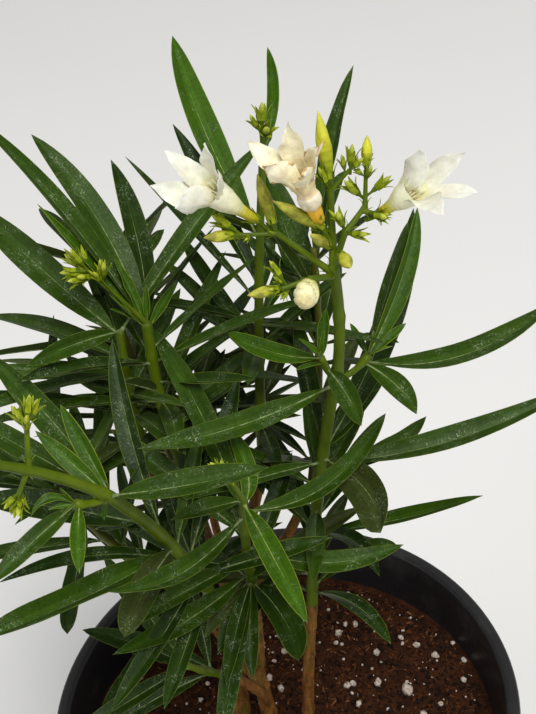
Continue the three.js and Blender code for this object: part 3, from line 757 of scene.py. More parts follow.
# %% Lay out the shoots in front
SHOOTS = {
    "foliage_flowering": {
        "limb": Limb([22, -2, 300.3], [45, -2, 447], [28, 0, 372], (2.8, 2.5)), "seed": 131,
        "placed": [
            [0.96, -152, 81, 96, 0.1, -20], [0.66, 3, 72, 114, 0], [0.62, 30, 80, 60, 0.1],
            [0.68, -78, 72, 60, 0.15, 30, 1.5], [0.35, -22, 58, 82, 0.08],
            [0.4, 55, 73, 72, 0.1], [0.1, -26, 45, 62, 0.1, 45, 1.2],
            [0.07, -62, 62, 66, 0.15], [0.35, -65, 60, 60, 0.1],
        ],
        "whorls": [4, 0.06, 0.66, 150, 80, 66], "bare": [-70, 50]},
    "foliage_side_left": {
        "limb": Limb([44, -2, 443], [39, -6, 460], [41, -5, 451], (1.4, 1.1)), "seed": 12,
        "placed": [
            [1, 144, 77, 46, 0.1, -30], [0.8, -141, 46, 17, 0.1], [0.97, 77, 86, 26, 0],
            [0.6, -72, 68, 46, 0.1],
        ],
        "whorls": [1, 1, 1, 30, 15, 22]},
    "foliage_side_right": {
        "limb": Limb([45, -1, 443], [59, 2, 451], [53, 0, 444], (1.6, 1.2)), "seed": 13,
        "placed": [
            [0.85, 22, 58, 94, -0.16], [1, 102, 36, 62, 0], [0.92, 112, 25, 70, 0],
            [0.96, 45, 30, 22, 0], [1, 130, 74, 17, 0, -60], [0.8, -61, 82, 36, 0.1, 70, 1.1],
        ],
        "whorls": [1, 1, 1, -60, 14, 25]},
    "foliage_front": {
        "limb": Limb([-4, -22, 345.3], [0, -52, 432], [-4, -38, 385], (2.4, 1.7)), "seed": 114,
        "placed": [
            [0.98, -74, 65, 64, 0.15], [0.86, -141, 52, 84, 0.1], [1, -157, 58, 36, 0.1],
            [0.93, 94, 92, 43, -0.1], [0.88, 109, 84, 94, 0], [0.9, 37, 96, 86, 0.1],
            [0.2, -146, 55, 82, 0.15], [0.06, -68, 58, 56, 0.15, 0, 1.5],
        ],
        "buds": [[-5, -3, 20], 3, 7], "whorls": [3, 0.1, 0.66, 20, 74, 64], "bare": [-100, -20]},
    "foliage_left_low": {
        "limb": Limb([-22, -32, 352.3], [-49, -66, 460], [-28, -50, 412], (2.8, 2.4)),
        "seed": 155,
        "placed": [
            [0.98, -8, 84, 68, 0.08], [0.95, 120, 76, 88, 0.05], [0.9, 138, 70, 88, 0.05],
            [0.5, -99, 48, 62, 0.15, -30, 1.25], [0.48, -131, 40, 94, 0.1],
            [0.36, -158, 31, 96, 0.1], [0.97, 124, 46, 36, 0], [0.96, 102, 54, 36, -0.1],
            [0.99, -80, 60, 13, 0.1],
        ],
        "whorls": [3, 0.08, 0.6, 80, 84, 64]},
    "foliage_side_low": {
        "limb": Limb([-48.5, -65, 457], [-59, -72, 463], [-54, -69, 458], (1.6, 1.3)),
        "seed": 16,
        "placed": [
            [1, -158, 30, 22, 0.15], [0.98, -112, 37, 42, 0.15, -50],
            [0.9, -62, 69, 31, 0.15, -50],
        ],
        "whorls": [1, 1, 1, 60, 12, 30]},
    "foliage_left": {
        "limb": Limb([-26, 12, 370.3], [-31, 23, 468], [-34, 18, 430], (2.8, 2.3)), "seed": 37,
        "placed": [
            [1, 158, 33, 106, 0], [0.98, 124, 51, 98, 0], [0.99, 174, 38, 62, -0.1],
            [0.94, 99, 52, 84, 0], [0.84, 34, 71, 62, -0.05], [0.96, 60, 70, 26, 0],
            [1, 140, 20, 30, 0], [0.98, -170, 36, 22, 0], [1, 80, 18, 16, 0],
        ],
        "buds": [[-20, 5, 28], 10, 10], "whorls": [4, 0.1, 0.76, 40, 84, 66]},
    "foliage_left_outer": {
        "limb": Limb([-42, 12, 395.3], [-43, 24, 465], [-46, 20, 430], (2.1, 1.7)), "seed": 78,
        "placed": [
            [0.97, 132, 60, 106, 0.05, -20, 1.5], [1, -130, 72, 56, 0.1, -50],
            [0.8, 138, 91, 92, 0.05], [0.72, 128, 90, 78, 0.05],
        ],
        "whorls": [3, 0.1, 0.7, 100, 84, 64]},
    "foliage_left_side": {
        "limb": Limb([-32, 2, 304.3], [-84, 0, 400], [-60, -4, 350], (2.4, 1.7)), "seed": 59,
        "placed": [[0.5, 78, 36, 78, 0.05]],
        "whorls": [6, 0.15, 1, 0, 86, 58], "bare": [-140, -40]},
    "foliage_front_low": {
        "limb": Limb([-22, -28, 288.3], [-38, -50, 330], [-30, -40, 308], (2.1, 1.5)),
        "seed": 20, "placed": [],
        "whorls": [4, 0.2, 1, 30, 64, 58], "bare": [-100, 70]},
}
print(len(SHOOTS), "leafy shoots in front laid out")

# %% Lay out the shoots behind
SHOOTS |= {
    "foliage_back": {
        "limb": Limb([8, 38, 365.3], [28, 65, 520], [14, 50, 440], (2.6, 1.6)), "seed": 81,
        "placed": [
            [0.74, 113, 55, 112, 0], [0.98, 85, 56, 56, 0], [0.6, 125, 48, 86, 0],
            [0.55, 140, 56, 92, 0],
        ],
        "buds": [[0, 1, 7], 3, 10], "whorls": [5, 0.06, 0.62, 0, 78, 66], "bare": [-40, 30]},
    "foliage_back_left": {
        "limb": Limb([-34, 48, 350.3], [-58, 105, 450], [-48, 75, 400], (2.3, 1.6)), "seed": 82,
        "placed": [[0.8, 37, 51, 62, 0]],
        "buds": [[-2, 4, 14], 4, 10], "whorls": [6, 0.12, 0.94, 50, 82, 58]},
    "foliage_back_right": {
        "limb": Limb([30, 40, 340.3], [45, 74, 458], [44, 58, 400], (2.3, 1.6)), "seed": 83,
        "placed": [[0.9, 32, 17, 94, 0]],
        "whorls": [6, 0.1, 0.95, 10, 76, 62], "bare": [-50, 50]},
    "foliage_back_low": {
        "limb": Limb([-24, 66, 302.3], [-20, 104, 372], [-26, 84, 336], (2.1, 1.5)), "seed": 44,
        "placed": [],
        "whorls": [6, 0.1, 1, 0, 80, 60]},
}
print(len(SHOOTS), "leafy shoots in all")

# %% [markdown]
# ## Where each leaf went
# A leaf that would have touched its neighbours turned a little on its stem. Testing every
# leaf against every other would find the turns again, but slowly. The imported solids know
# them already, because each leaf's tip is a corner of its shoot's mesh. So each leaf tries
# the same turns in the same order, and takes the first whose tip is there.

# %% The leaf class
SLIM = 0.9
STALK_SUNK = 1.2


def as_seen(place, right, up):
    """So many pixels of the photo to the right and up, as a step in space at a place."""
    depth = (place - CAMERA_AT).dot(forward)
    return (camera_right * right + camera_up * up) * (depth / FOCAL_PIXELS)


class Leaf:
    """The line, flat side and width of one leaf."""

    def __init__(self, limb, at, turn, spread, length, droop, roll=0, breadth=1):
        axes = limb.axes(at)
        start = aslant(axes, turn, spread)
        depth = max(limb.radius(at) - STALK_SUNK, 0)
        self.root = limb.at(at) + aslant(axes, turn, 90) * depth
        self.middle = self.root + start * (length / 2)
        self.tip = self.root + start * length + Vector((0, 0, -droop * length))
        side = start.cross(axes[0]).normalized()
        self.side = Matrix.Rotation(math.radians(roll), 3, start) @ side
        self.length = length
        self.width = SLIM * breadth * min(6 + 0.05 * length, 0.2 * length)
        self.breadth = breadth
        self.at_shoot = at

    def place(self, share):
        """The point on the midrib at a share of the way to the tip."""
        near = self.root.lerp(self.middle, share)
        far = self.middle.lerp(self.tip, share)
        return near.lerp(far, share)

    def reshape(self, right, up, wider=1, tip_right=0, tip_up=0):
        """Moves the leaf's middle and tip as the camera sees them, and widens it."""
        self.tip = self.tip + as_seen(self.tip, tip_right, tip_up)
        self.middle = self.middle + as_seen(self.middle, 2 * right, 2 * up)
        self.width *= wider

    def line(self, share):
        """Which way the midrib runs there."""
        way = (self.middle - self.root) * (1 - share) + (self.tip - self.middle) * share
        return way.normalized()


print("leaf class ready, blades", SLIM, "of the solids' width")

# %% Deal out the leaves
def whorl_leaves(shoot):
    """The leaves of the whorls as the rule deals them out."""
    count, first, last, turn, length, spread = shoot["whorls"]
    low, high = shoot.get("bare", (0, 0))
    chance = Chance(shoot["seed"] + 100)
    for i in range(count):
        at = first if count == 1 else first + (last - first) * i / (count - 1)
        for j in range(3):
            leaf_turn = turn + 60 * i + 120 * j + 24 * (chance.next() - 0.5)
            leaf_spread = spread + 14 * (0.5 - i / count) + 16 * (chance.next() - 0.5)
            leaf_length = length * (0.82 + 0.28 * chance.next())
            droop = 0.06 + 0.1 * chance.next()
            if (leaf_turn - low) % 360 >= high - low:
                yield [at, leaf_turn, leaf_spread, leaf_length, droop]


flowering = list(whorl_leaves(SHOOTS["foliage_flowering"]))
print("the whorls of the flowering shoot have", len(flowering), "leaves")

# %% Find a leaf by its tip
NUDGES = [
    (0, 0), (7, 0), (-7, 0), (0, 7), (0, -7), (14, 4), (-14, 4), (14, -6), (-14, -6),
    (22, 0), (-22, 0), (0, 14), (0, -14), (30, 8), (-30, 8),
]
FREE_NUDGES = [(45, 0), (-45, 0), (60, 10), (-60, 10)]
TIP_NEAR = 0.08


def corners_of(node):
    """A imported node's corners, ready for a search by place."""
    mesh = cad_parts[node].data
    tree = kdtree.KDTree(len(mesh.vertices))
    for vertex in mesh.vertices:
        tree.insert(vertex.co, vertex.index)
    tree.balance()
    return tree


def settled(shoot, row, nudges, corners):
    """The leaf at the first of the turns whose tip is a corner of the shoot's mesh."""
    for more_turn, more_spread in nudges:
        at, turn, spread, *rest = row
        leaf = Leaf(shoot["limb"], at, turn + more_turn, spread + more_spread, *rest)
        if corners.find(leaf.tip * MM)[2] < TIP_NEAR * MM:
            return leaf
    return None


print("a leaf may take one of", len(NUDGES), "turns")

# %% Find the leaves
leaves = []


def keep_leaf(leaf, shoot, is_placed):
    """Numbers the leaf among those of its shoot and adds it to the others."""
    leaf.shoot, leaf.is_placed = shoot, is_placed
    alike = [one for one in leaves if one.shoot == shoot and one.is_placed == is_placed]
    leaf.number = len(alike)
    leaves.append(leaf)


missing = 0
for name, shoot in SHOOTS.items():
    corners = corners_of(name)
    rows = [(row, NUDGES, True) for row in shoot["placed"]]
    rows += [(row, NUDGES + FREE_NUDGES, False) for row in whorl_leaves(shoot)]
    for row, nudges, is_placed in rows:
        leaf = settled(shoot, row, nudges, corners)
        if leaf:
            keep_leaf(leaf, name, is_placed)
        else:
            missing += 1
print(len(leaves), "leaves found,", missing, "left out")

# %% [markdown]
# ## The smaller leaves
# The solids hold only as many leaves as keep clear of each other. The real shoots have
# smaller ones half way from whorl to whorl, and some that crowd round a tip or a fork. Thick
# ones in the solids would touch their neighbours there. These thin ones slip in between, so
# a rule adds those between the whorls, and a list those that the photo shows.

# %% Add the smaller leaves
def between_whorls(shoot):
    """Smaller leaves half way from one whorl to the next."""
    count, first, last, turn, length, spread = shoot["whorls"]
    low, high = shoot.get("bare", (0, 0))
    chance = Chance(shoot["seed"] + 700)
    for i in range(count - 1):
        at = first + (last - first) * (i + 0.5) / (count - 1)
        for j in range(3):
            leaf_turn = turn + 60 * (i + 0.5) + 120 * j + chance.between(-14, 14)
            leaf_spread = spread + chance.between(-6, 12)
            leaf_length = length * chance.between(0.62, 0.86)
            droop = chance.between(0.05, 0.16)
            if (leaf_turn - low) % 360 >= high - low:
                yield [at, leaf_turn, leaf_spread, leaf_length, droop]


SMALL_LEAVES = {
    "foliage_left": [[0.6, -120, 45, 30, 0.05, 30, 1.3], [0.5, 150, 95, 60, 0.05, 0, 1.2],
                     [1, 132, 35, 22, 0.05], [1, 174, 60, 16, 0.05], [0.9, 24, 50, 50, 0, 20, 1.2]],
    "foliage_left_side": [[0.1, -120, 65, 70, 0.05], [0.8, -102, 95, 56, 0.02, 0, 1.3]],
    "foliage_left_outer": [[1, 27, 47, 100, 0, 20, 0.85]],
    "foliage_left_low": [[0.1, -108, 70, 60, 0.05], [0.7, 156, 85, 80, 0.05, 0, 1.5]],
    "foliage_front": [[0.1, -120, 75, 36, 0.1], [0.1, -108, 70, 52, 0.1], [0.1, -96, 80, 44, 0.1],
                      [0.1, -132, 70, 36, 0.1]],
    "foliage_flowering": [[0.7, 60, 45, 115, 0, 20, 1.1], [0.6, 120, 25, 36, 0],
                          [0.7, 54, 80, 54, 0, 0, 1.4]],
    "foliage_back": [
        [0.5, -138, 45, 60, 0.05],
        [0.4, 120, 65, 75, 0], [0.5, 132, 80, 50, 0.05, 20], [0.98, -70, 28, 16, 0, 0, 1.3],
    ],
    "foliage_back_right": [
        [0.6, 126, 25, 92, 0, -20, 1.6], [0.6, 174, 25, 60, 0], [0.6, 108, 65, 75, 0, 30, 1.2],
        [0.8, -150, 30, 50, 0],
    ],
    "foliage_back_left": [
        [0.8, 48, 65, 50, 0], [0.8, 18, 55, 44, 0, 30, 1.2], [0.7, 10, 50, 62, 0, 0, 1.2],
    ],
}
BARE_SHOOTS = ["foliage_front_low", "foliage_side_low"]
for name, shoot in SHOOTS.items():
    rows = SMALL_LEAVES.get(name, [])
    if name not in BARE_SHOOTS:
        rows = rows + list(between_whorls(shoot))
    for row in rows:
        keep_leaf(Leaf(shoot["limb"], *row), name, False)
print(len(leaves), "leaves in all")

# %% [markdown]
# ## Leaves bent as in the photo
# Straight leaves would give the model away, because each real one bows its own way. They
# could be bent in space, but only the part of a bow that lies across the line of sight shows.
# So a bend is given as the camera sees it: pixels to the right and up for the leaf's middle,
# how many times wider it is, and pixels to the right and up for its tip. Some leaves that the
# rule grows fill gaps that the photo shows, and they are left out.

# %% Bend the leaves that stand out
BENDS = {
    "foliage_flowering": {
        0: (0, -15), 1: (0, -17, 1.28, 0, 5), 2: (8, -12, 1.2), 3: (16, 2, 1.35, 4, 6),
        4: (6, -3, 1, 5, 16), 6: (0, 14, 0.8, -10, 9), 7: (5, 8), 8: (5, 12, 1.15, -6, -1)},
    "foliage_side_left": {0: (0, -11, 1.1), 3: (4, 0, 1.2)},
    "foliage_side_right": {
        0: (0, -15, 1.45, 0, 14), 1: (0, 0, 1.15), 2: (6, 0, 1.1, -9, -4), 5: (9, 0, 1.35, 2, 0)},
    "foliage_front": {
        0: (0, 0, 1.15), 1: (0, -26), 2: (0, 0, 1.1), 3: (14, -8, 1, 0, -10),
        4: (6, 0, 1.12), 5: (5, -30, 1, -6, -6), 6: (0, -14, 1.2, -4, 7),
        7: (9, 0, 1, -6, 8)},
    "foliage_left_low": {
        0: (3, -6, 1.2), 1: (4, 0, 1.12), 3: (-3, 0, 1.1, 0, 7), 4: (0, -8, 1.4, -42, -7),
        5: (0, 9, 0.7, 0, -12)},
    "foliage_side_low": {0: (0, 12, 1, 12, 8), 2: (-2, 0, 1, -7, 4)},
    "foliage_left": {0: (7, 8, 1.05, 4, 12), 1: (12, 3, 1.22, -5, 5), 3: (8, 0, 1.15, -2, 0),
                     4: (0, 1, 0.7, 2, -4)},
    "foliage_left_outer": {0: (2, -15, 0.92, -6, -28), 2: (0, 4, 1.25)},
    "foliage_back": {0: (-9, 3, 1.22, -3, 6), 1: (7, 0, 0.68, -1, 4), 2: (0, 0, 1.1),
                     3: (0, 0, 0.6)},
    "foliage_back_left": {0: (0, 0, 0.5)},
    "foliage_back_right": {0: (-5, 0, 1.15, 3, 2)},
}
FILLED_BENDS = {
    "foliage_left": {8: (0, 0, 1.1, -8, 26)}, "foliage_back": {13: (-8, 0, 0.9)},
    "foliage_flowering": {8: (12, -3, 1.05, 0, 0)},
    "foliage_front": {16: (8, -18, 1.2, 34, -14)},
}
LEFT_OUT = {
    "foliage_left_low": (1, 2, 4, 6, 7, 14, 15), "foliage_front": (6, 7, 15),
    "foliage_flowering": (1,), "foliage_left": (16, 25), "foliage_left_outer": (2, 7),
    "foliage_left_side": (3, 15, 18, 20), "foliage_back": (10, 12, 14, 23),
    "foliage_back_left": (14, 20, 33, 35), "foliage_back_right": (3, 26),
}
for leaf in leaves:
    bends = (BENDS if leaf.is_placed else FILLED_BENDS).get(leaf.shoot, {})
    if leaf.number in bends:
        leaf.reshape(*bends[leaf.number])
leaves = [leaf for leaf in leaves
          if leaf.is_placed or leaf.number not in LEFT_OUT.get(leaf.shoot, ())]
print(len(leaves), "leaves kept")

# %% [markdown]
# ## The leaf
# An oleander leaf is long, narrow and leathery, folded a little along a pale midrib, with a
# thin yellowish edge. A flat card cut out by a picture would be lighter, but false from the
# side. So the blade is a closed skin with one finish for its upper side, a duller one for its
# underside and a paler one for the strip along the midrib. The midrib and the edges are thin
# rods of their own, so they stay crisp from any distance.

# %% Outline the blade
BLADE = {"rows": 18, "half": 3, "start": 0.035, "thick": 0.42, "least": 0.06}
BLUNT = {"broader_than": 1.15, "shorter_than": 70, "share": 0.9}


def blade_share(share, blunt):
    """What part of its full width the blade has at a place along it."""
    inner = max(0.0, min(1.0, (share - BLADE["start"]) / (1 - BLADE["start"])))
    centred = 2 * inner ** (0.94 + 0.2 * blunt) - 1
    return max(0.0, 1 - abs(centred) ** (2.15 + 1.3 * blunt)) ** (0.95 - 0.3 * blunt)


for blunt in (0, BLUNT["share"]):
    print("blade of bluntness", blunt, "has", round(blade_share(0.9, blunt), 2),
          "of its width near its tip")

# %% Cut a leaf into sections
def leaf_sections(leaf, chance):
    """Cross-sections from the blade's foot to its tip, no two leaves quite alike."""
    rows, half = BLADE["rows"], BLADE["half"]
    fold = chance.between(0.4, 0.8)
    sag = fold * chance.between(0.15, 0.5)
    twist = math.radians(chance.between(-14, 14))
    sway = leaf.length * chance.between(-0.03, 0.03) * (0.2 if leaf.is_placed else 1)
    wave = chance.between(0.1, 0.45)
    waves = chance.between(1.2, 3.2)
    phase = TURN * chance.next()
    is_blunt = leaf.breadth > BLUNT["broader_than"] and leaf.length < BLUNT["shorter_than"]
    blunt = BLUNT["share"] if is_blunt else chance.between(0, 0.3)
    full = leaf.width / 2 * chance.between(0.94, 1.06)
    shares = [-1 + i / half for i in range(2 * half + 1)]
    sections = []
    for i in range(rows + 1):
        share = BLADE["start"] + (1 - BLADE["start"]) * (i / rows) ** 0.94
        line = leaf.line(share)
        side = Matrix.Rotation(twist * share, 3, line) @ leaf.side
        upper = side.cross(line).normalized()
        place = leaf.place(share) + side * (sway * math.sin(math.pi * share))
        width = max(full * blade_share(share, blunt), BLADE["least"])
        thick = BLADE["thick"] * min(1, width / 2)
        top, under = [], []
        for s in shares:
            lift = width * (fold * abs(s) - sag * s * s)
            lift += wave * s * abs(s) * math.sin(TURN * waves * share + phase) * width / full
            point = place + side * (width * s) + upper * lift
            top.append(point)
            under.append(point - upper * (thick * (1 - s * s)))
        sections.append({
            "share": share, "axes": (line, side, upper), "middle": place - upper * (thick * 0.5),
            "width": width, "top": top, "under": under,
        })
    return sections


print("the first leaf has", len(leaf_sections(leaves[0], Chance(1))), "sections")

# %% Build the blade
UPPER, UNDER, STRIP = 0, 1, 2


def add_blade(shape, sections):
    """The closed skin through the sections, whose two faces share the blade's outline."""
    half = BLADE["half"]
    rows, across = len(sections) - 1, 2 * half
    points = [point for section in sections for point in section["top"]]
    index = {}
    for i, section in enumerate(sections):
        for j, point in enumerate(section["under"]):
            index[i, j] = i * (across + 1) + j
            if 0 < j < across:
                index[i, j] = len(points)
                points.append(point)
    faces, finish = [], []
    for i in range(rows):
        for j in range(across):
            a = i * (across + 1) + j
            faces.append((a, a + 1, a + across + 2, a + across + 1))
            finish.append(STRIP if j in (half - 1, half) else UPPER)
    for i in range(rows):
        for j in range(across):
            faces.append((index[i, j], index[i + 1, j], index[i + 1, j + 1], index[i, j + 1]))
    for i, order in ((0, -1), (rows, 1)):
        rim = [i * (across + 1) + j for j in range(across + 1)]
        rim += [index[i, j] for j in range(across - 1, 0, -1)]
        faces.append(tuple(rim[::order]))
    shape.add(points, faces, finish + [UNDER] * (len(faces) - len(finish)))


print("blade helper ready, up to", BLADE["rows"] * BLADE["half"] * 8, "triangles a blade")

# %% Build the midrib and the edges
RIB = {"girth": 0.66, "least": 0.1, "sides": 6, "wide": 0.85, "above": 0.62, "below": 1.1}
EDGE = {"girth": 0.19, "sides": 3}
STALK = ((0, 1.15), (BLADE["start"] * 0.5, 0.95))
FULL_WIDTH = 8


def rib_ring(section, slim):
    """The midrib's outline, flat above the blade and round below it."""
    _, side, upper = section["axes"]
    girth = RIB["girth"] * (1 - section["share"]) ** 0.6 * slim + RIB["least"]
    ring = []
    for i in range(RIB["sides"]):
        across, up = math.cos(TURN * i / RIB["sides"]), math.sin(TURN * i / RIB["sides"])
        high = RIB["above"] if up > 0 else RIB["below"]
        ring.append(section["middle"] + side * (girth * RIB["wide"] * across)
                    + upper * (girth * high * up))
    return ring


def add_leaf(blades, ribs, edges, leaf, chance):
    """One leaf's blade, midrib and edges, each into its own collector."""
    sections = leaf_sections(leaf, chance)
    add_blade(blades, sections)
    slim = min(1, leaf.width / FULL_WIDTH)
    line = leaf.line(0)
    foot_axes = (line, leaf.side, leaf.side.cross(line).normalized())
    stalk = [ring_of(leaf.place(share), foot_axes, girth * slim, RIB["sides"])
             for share, girth in STALK]
    ribs.loft(stalk + [rib_ring(section, slim) for section in sections])
    for end in (0, -1):
        edges.loft([ring_of(section["top"][end], section["axes"],
                            EDGE["girth"] * min(1, section["width"] / 2), EDGE["sides"])
                    for section in sections])


print("leaf helper ready, its midrib about", 2 * RIB["girth"], "mm wide at the foot")

# %% [markdown]
# ## Leaf colours
# Old leaves are dark and a little dusty, those near a shoot's tip are fresh green, and a
# few at the foot are olive. The dark tone is also painted shade, on leaves low in the crown
# and on some that lie in shade behind others. One material with a random tint would be
# shorter, but couldn't give the leaves that stand out the tones that they have in the photo.
# So five plain tones are dealt out leaf by leaf. Noise then makes each blade uneven, and
# lays a film and pale drops on it, as hard water leaves them when it dries.

# %% Lay the marks of dried water
DRIED_FILM = (0.12, 0.16, 0.085)
DRIED_DROP = (0.33, 0.39, 0.26)


def with_water_marks(finish, body, strength):
    """A colour under the marks of dried water, and the mask of the marks' pale drops."""
    patchy = finish.speckle(11, 2).between(0.45, 0.60)
    film = finish.speckle(4, 5, distortion=1.2).between(0.5, 0.74) * patchy
    drops = finish.speckle(1.5, 4, distortion=2.2).between(0.56, 0.68) * patchy
    dulled = finish.mix(film * strength * 0.5, body, DRIED_FILM)
    return finish.mix(drops * strength, dulled, DRIED_DROP), drops


print("water marks ready, their drops", DRIED_DROP)

# %% Mix the leaf finishes
PALER = 1.25


def leaf_finish(name, tone, deep, roughness, speck):
    """The upper side of a leaf."""
    finish = Finish(name, roughness=roughness, specular_ior_level=0.14)
    cloud = finish.speckle(14, 3)
    mottle = finish.speckle(1.6, 5)
    body = finish.mix(cloud.between(0.3, 0.72) * 0.5 + mottle.between(0.3, 0.7) * 0.5, tone, deep)
    colour, drops = with_water_marks(finish, body, speck)
    finish.feed("Base Color", colour)
    finish.feed("Roughness", roughness + mottle * 0.16 - 0.06 + drops * 0.2)
    finish.relief(mottle + finish.speckle(0.7, 2) * 0.4, 0.2)
    return finish


def underside(name, tone, speck):
    """The duller lower side of a leaf, with fainter marks."""
    finish = Finish(name, roughness=0.6, specular_ior_level=0.15)
    shade = finish.speckle(3, 3)
    lighter = tuple(value * PALER for value in tone)
    colour, drops = with_water_marks(finish, finish.mix(shade, tone, lighter), speck * 0.6)
    finish.feed("Base Color", colour)
    finish.relief(finish.speckle(0.8, 2) + drops, 0.05)
    return finish


def tone_set(name, tone, deep, under, roughness, speck):
    """One tone's finishes: the upper side, the underside, and the paler strip by the midrib."""
    pale_tone, pale_deep = (tuple(v * PALER + 0.003 for v in colour) for colour in (tone, deep))
    return (leaf_finish("leaf_" + name, tone, deep, roughness, speck),
            underside(f"leaf_{name}_under", under, speck),
            leaf_finish(f"leaf_{name}_middle", pale_tone, pale_deep, roughness, speck * 1.5))


print("leaf finishes ready, the midrib's strip", PALER, "times as pale")

# %% Mix the tones
TONES = {
    # The dark tone is the older leaves' own deeper green, and also painted shade for leaves low in
    # the crown or behind others.
    "dark": tone_set("dark", (0.017, 0.040, 0.002), (0.007, 0.020, 0.001),
                     (0.036, 0.060, 0.010), 0.4, 0.5),
    "mature": tone_set("mature", (0.030, 0.068, 0.002), (0.015, 0.037, 0.0015),
                       (0.050, 0.080, 0.012), 0.42, 0.5),
    "bright": tone_set("bright", (0.042, 0.104, 0.0012), (0.022, 0.058, 0.001),
                       (0.065, 0.115, 0.012), 0.42, 0.3),
    "fresh": tone_set("fresh", (0.060, 0.140, 0.002), (0.036, 0.092, 0.0015),
                      (0.085, 0.145, 0.012), 0.4, 0.2),
    "olive": tone_set("olive", (0.042, 0.056, 0.010), (0.024, 0.036, 0.006),
                      (0.06, 0.075, 0.022), 0.5, 0.5),
}
RIBS = {
    "dark": tinted("midrib", (0.058, 0.097, 0.016), (0.22, 0.27, 0.12), 2.6, 0.5, 0.02),
    "fresh": tinted("midrib_fresh", (0.10, 0.16, 0.016), (0.28, 0.34, 0.13), 2.6, 0.5, 0.02),
}
EDGES = {
    "dark": tinted("leaf_edge", (0.045, 0.080, 0.006), (0.10, 0.145, 0.016), 5, 0.5, 0.02),
    "fresh": tinted("leaf_edge_fresh", (0.11, 0.18, 0.010), (0.19, 0.26, 0.02), 5, 0.5, 0.02),
}
print(len(TONES), "leaf tones mixed")

# %% Choose each leaf's tone
PLACED_TONES = {
    "bright": {
        "foliage_back": (0, 1), "foliage_left": (2, 5, 6, 7, 8), "foliage_front": (0, 3),
        "foliage_side_right": (2, 3, 4), "foliage_side_left": (0, 1, 2),
        "foliage_side_low": (0, 2), "foliage_left_low": (6, 7)},
    # The dark ones here are painted shade: these leaves lie in shade behind others.
    "dark": {
        "foliage_front": (7,), "foliage_left": (3,), "foliage_left_low": (5,),
        "foliage_flowering": (7, 8), "foliage_back": (2, 3)},
    "olive": {"foliage_flowering": (3,), "foliage_left_low": (3,)},
}
YOUNG_LENGTH = 26
# Leaves near a shoot's foot are old; leaves rooted below shade_below take the dark tone as painted
# shade.
AGED_AND_SHADED = {"below_share": 0.3, "odds": 0.25, "shade_below": 330}


def tone_of(leaf, chance):
    """The tone of a leaf: its own, or by its length, by where it grows and by chance.

    Leaves rooted low in the crown take the dark tone as painted shade.
    """
    draw = chance.next()
    if leaf.is_placed:
        for tone, shoots in PLACED_TONES.items():
            if leaf.number in shoots.get(leaf.shoot, ()):
                return tone
        return "mature"
    if leaf.length < YOUNG_LENGTH:
        return "fresh"
    is_chosen = draw < AGED_AND_SHADED["odds"]
    if leaf.at_shoot < AGED_AND_SHADED["below_share"]:
        return "olive" if is_chosen else "dark"
    # Leaves rooted low in the crown are darkened as painted shade.
    return "dark" if is_chosen or leaf.root.z < AGED_AND_SHADED["shade_below"] else "mature"


print(sum(leaf.is_placed for leaf in leaves), "leaves have their place in the photo")

# %% Grow the leaves
blades = {tone: Shape() for tone in TONES}
ribs = {tone: Shape() for tone in RIBS}
edges = {tone: Shape() for tone in EDGES}
leaf_chance = Chance(501)
for leaf in leaves:
    tone = tone_of(leaf, leaf_chance)
    trim = "fresh" if tone in ("fresh", "bright") else "dark"
    add_leaf(blades[tone], ribs[trim], edges[trim], leaf, leaf_chance)
for tone, finishes in TONES.items():
    replaced = list(SHOOTS) if tone == "mature" else []
    blades[tone].make("leaves_" + tone, finishes, "foliage", replaced, 60)
for trim in RIBS:
    ribs[trim].make("midribs_" + trim, [RIBS[trim]], "foliage", smooth_below=80)
    edges[trim].make("leaf_edges_" + trim, [EDGES[trim]], "foliage", smooth_below=130)

# %% [markdown]
# ## The shoots' green stems
# Young oleander stems are smooth and yellow-green, with three faint ridges and a swelling
# where each whorl leaves them. A curve with a bevel would give them as plain pipes. Rings of
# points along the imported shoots' own curves can swell at each whorl and still keep to the
# solids.

# %% Sweep a green stem
SWEPT = {"step": 2.2, "sides": 14, "swell": 0.42, "swell_reach": 2.0, "ridge": 0.08, "tip": 1.2}


def add_shoot(shape, limb, joints):
    """A green stem along a limb, swollen at the joints."""
    steps = max(6, round(limb.length / SWEPT["step"]))
    rings = []
    for i in range(steps + 1):
        share = i / steps
        along, right, back = limb.axes(share)
        place = limb.at(share)
        if i == 0:
            place = place - along * BARK["lap"]
        away = [(share - at) * limb.length / SWEPT["swell_reach"] for at in joints]
        swell = sum(SWEPT["swell"] * math.exp(-steps_off ** 2) for steps_off in away)

        def reach(angle):
            ridge = SWEPT["ridge"] * math.cos(3 * angle + 4 * share)
            return limb.radius(share) + swell + ridge + SWEPT["ridge"] * noise.noise(place / 3)

        rings.append(ring_of(place, (along, right, back), reach, SWEPT["sides"]))
    rings.append([limb.tip + limb.axes(1)[0] * SWEPT["tip"]])
    shape.loft(rings)


print("stem helper ready, a ring each", SWEPT["step"], "mm")

# %% Mix the stems' finishes
def stalk_finish(name, tone, deep):
    """Green or olive skin, clouded and streaked along its length."""
    finish = Finish(name, roughness=0.45, specular_ior_level=0.2)
    cloud = finish.speckle(9, 3, stretch=(1, 1, 0.4))
    streaks = finish.speckle(1.1, 2, stretch=(1, 1, 0.15))
    finish.feed("Base Color", finish.mix(cloud.between(0.3, 0.7) * 0.7 + streaks * 0.3,
                                         tone, deep))
    finish.relief(streaks, 0.06)
    return finish


green_stalk = stalk_finish("green_stalk", (0.10, 0.148, 0.002), (0.05, 0.084, 0.0015))
olive_stalk = stalk_finish("olive_stalk", (0.095, 0.11, 0.008), (0.055, 0.056, 0.006))
print("green and olive stems mixed")

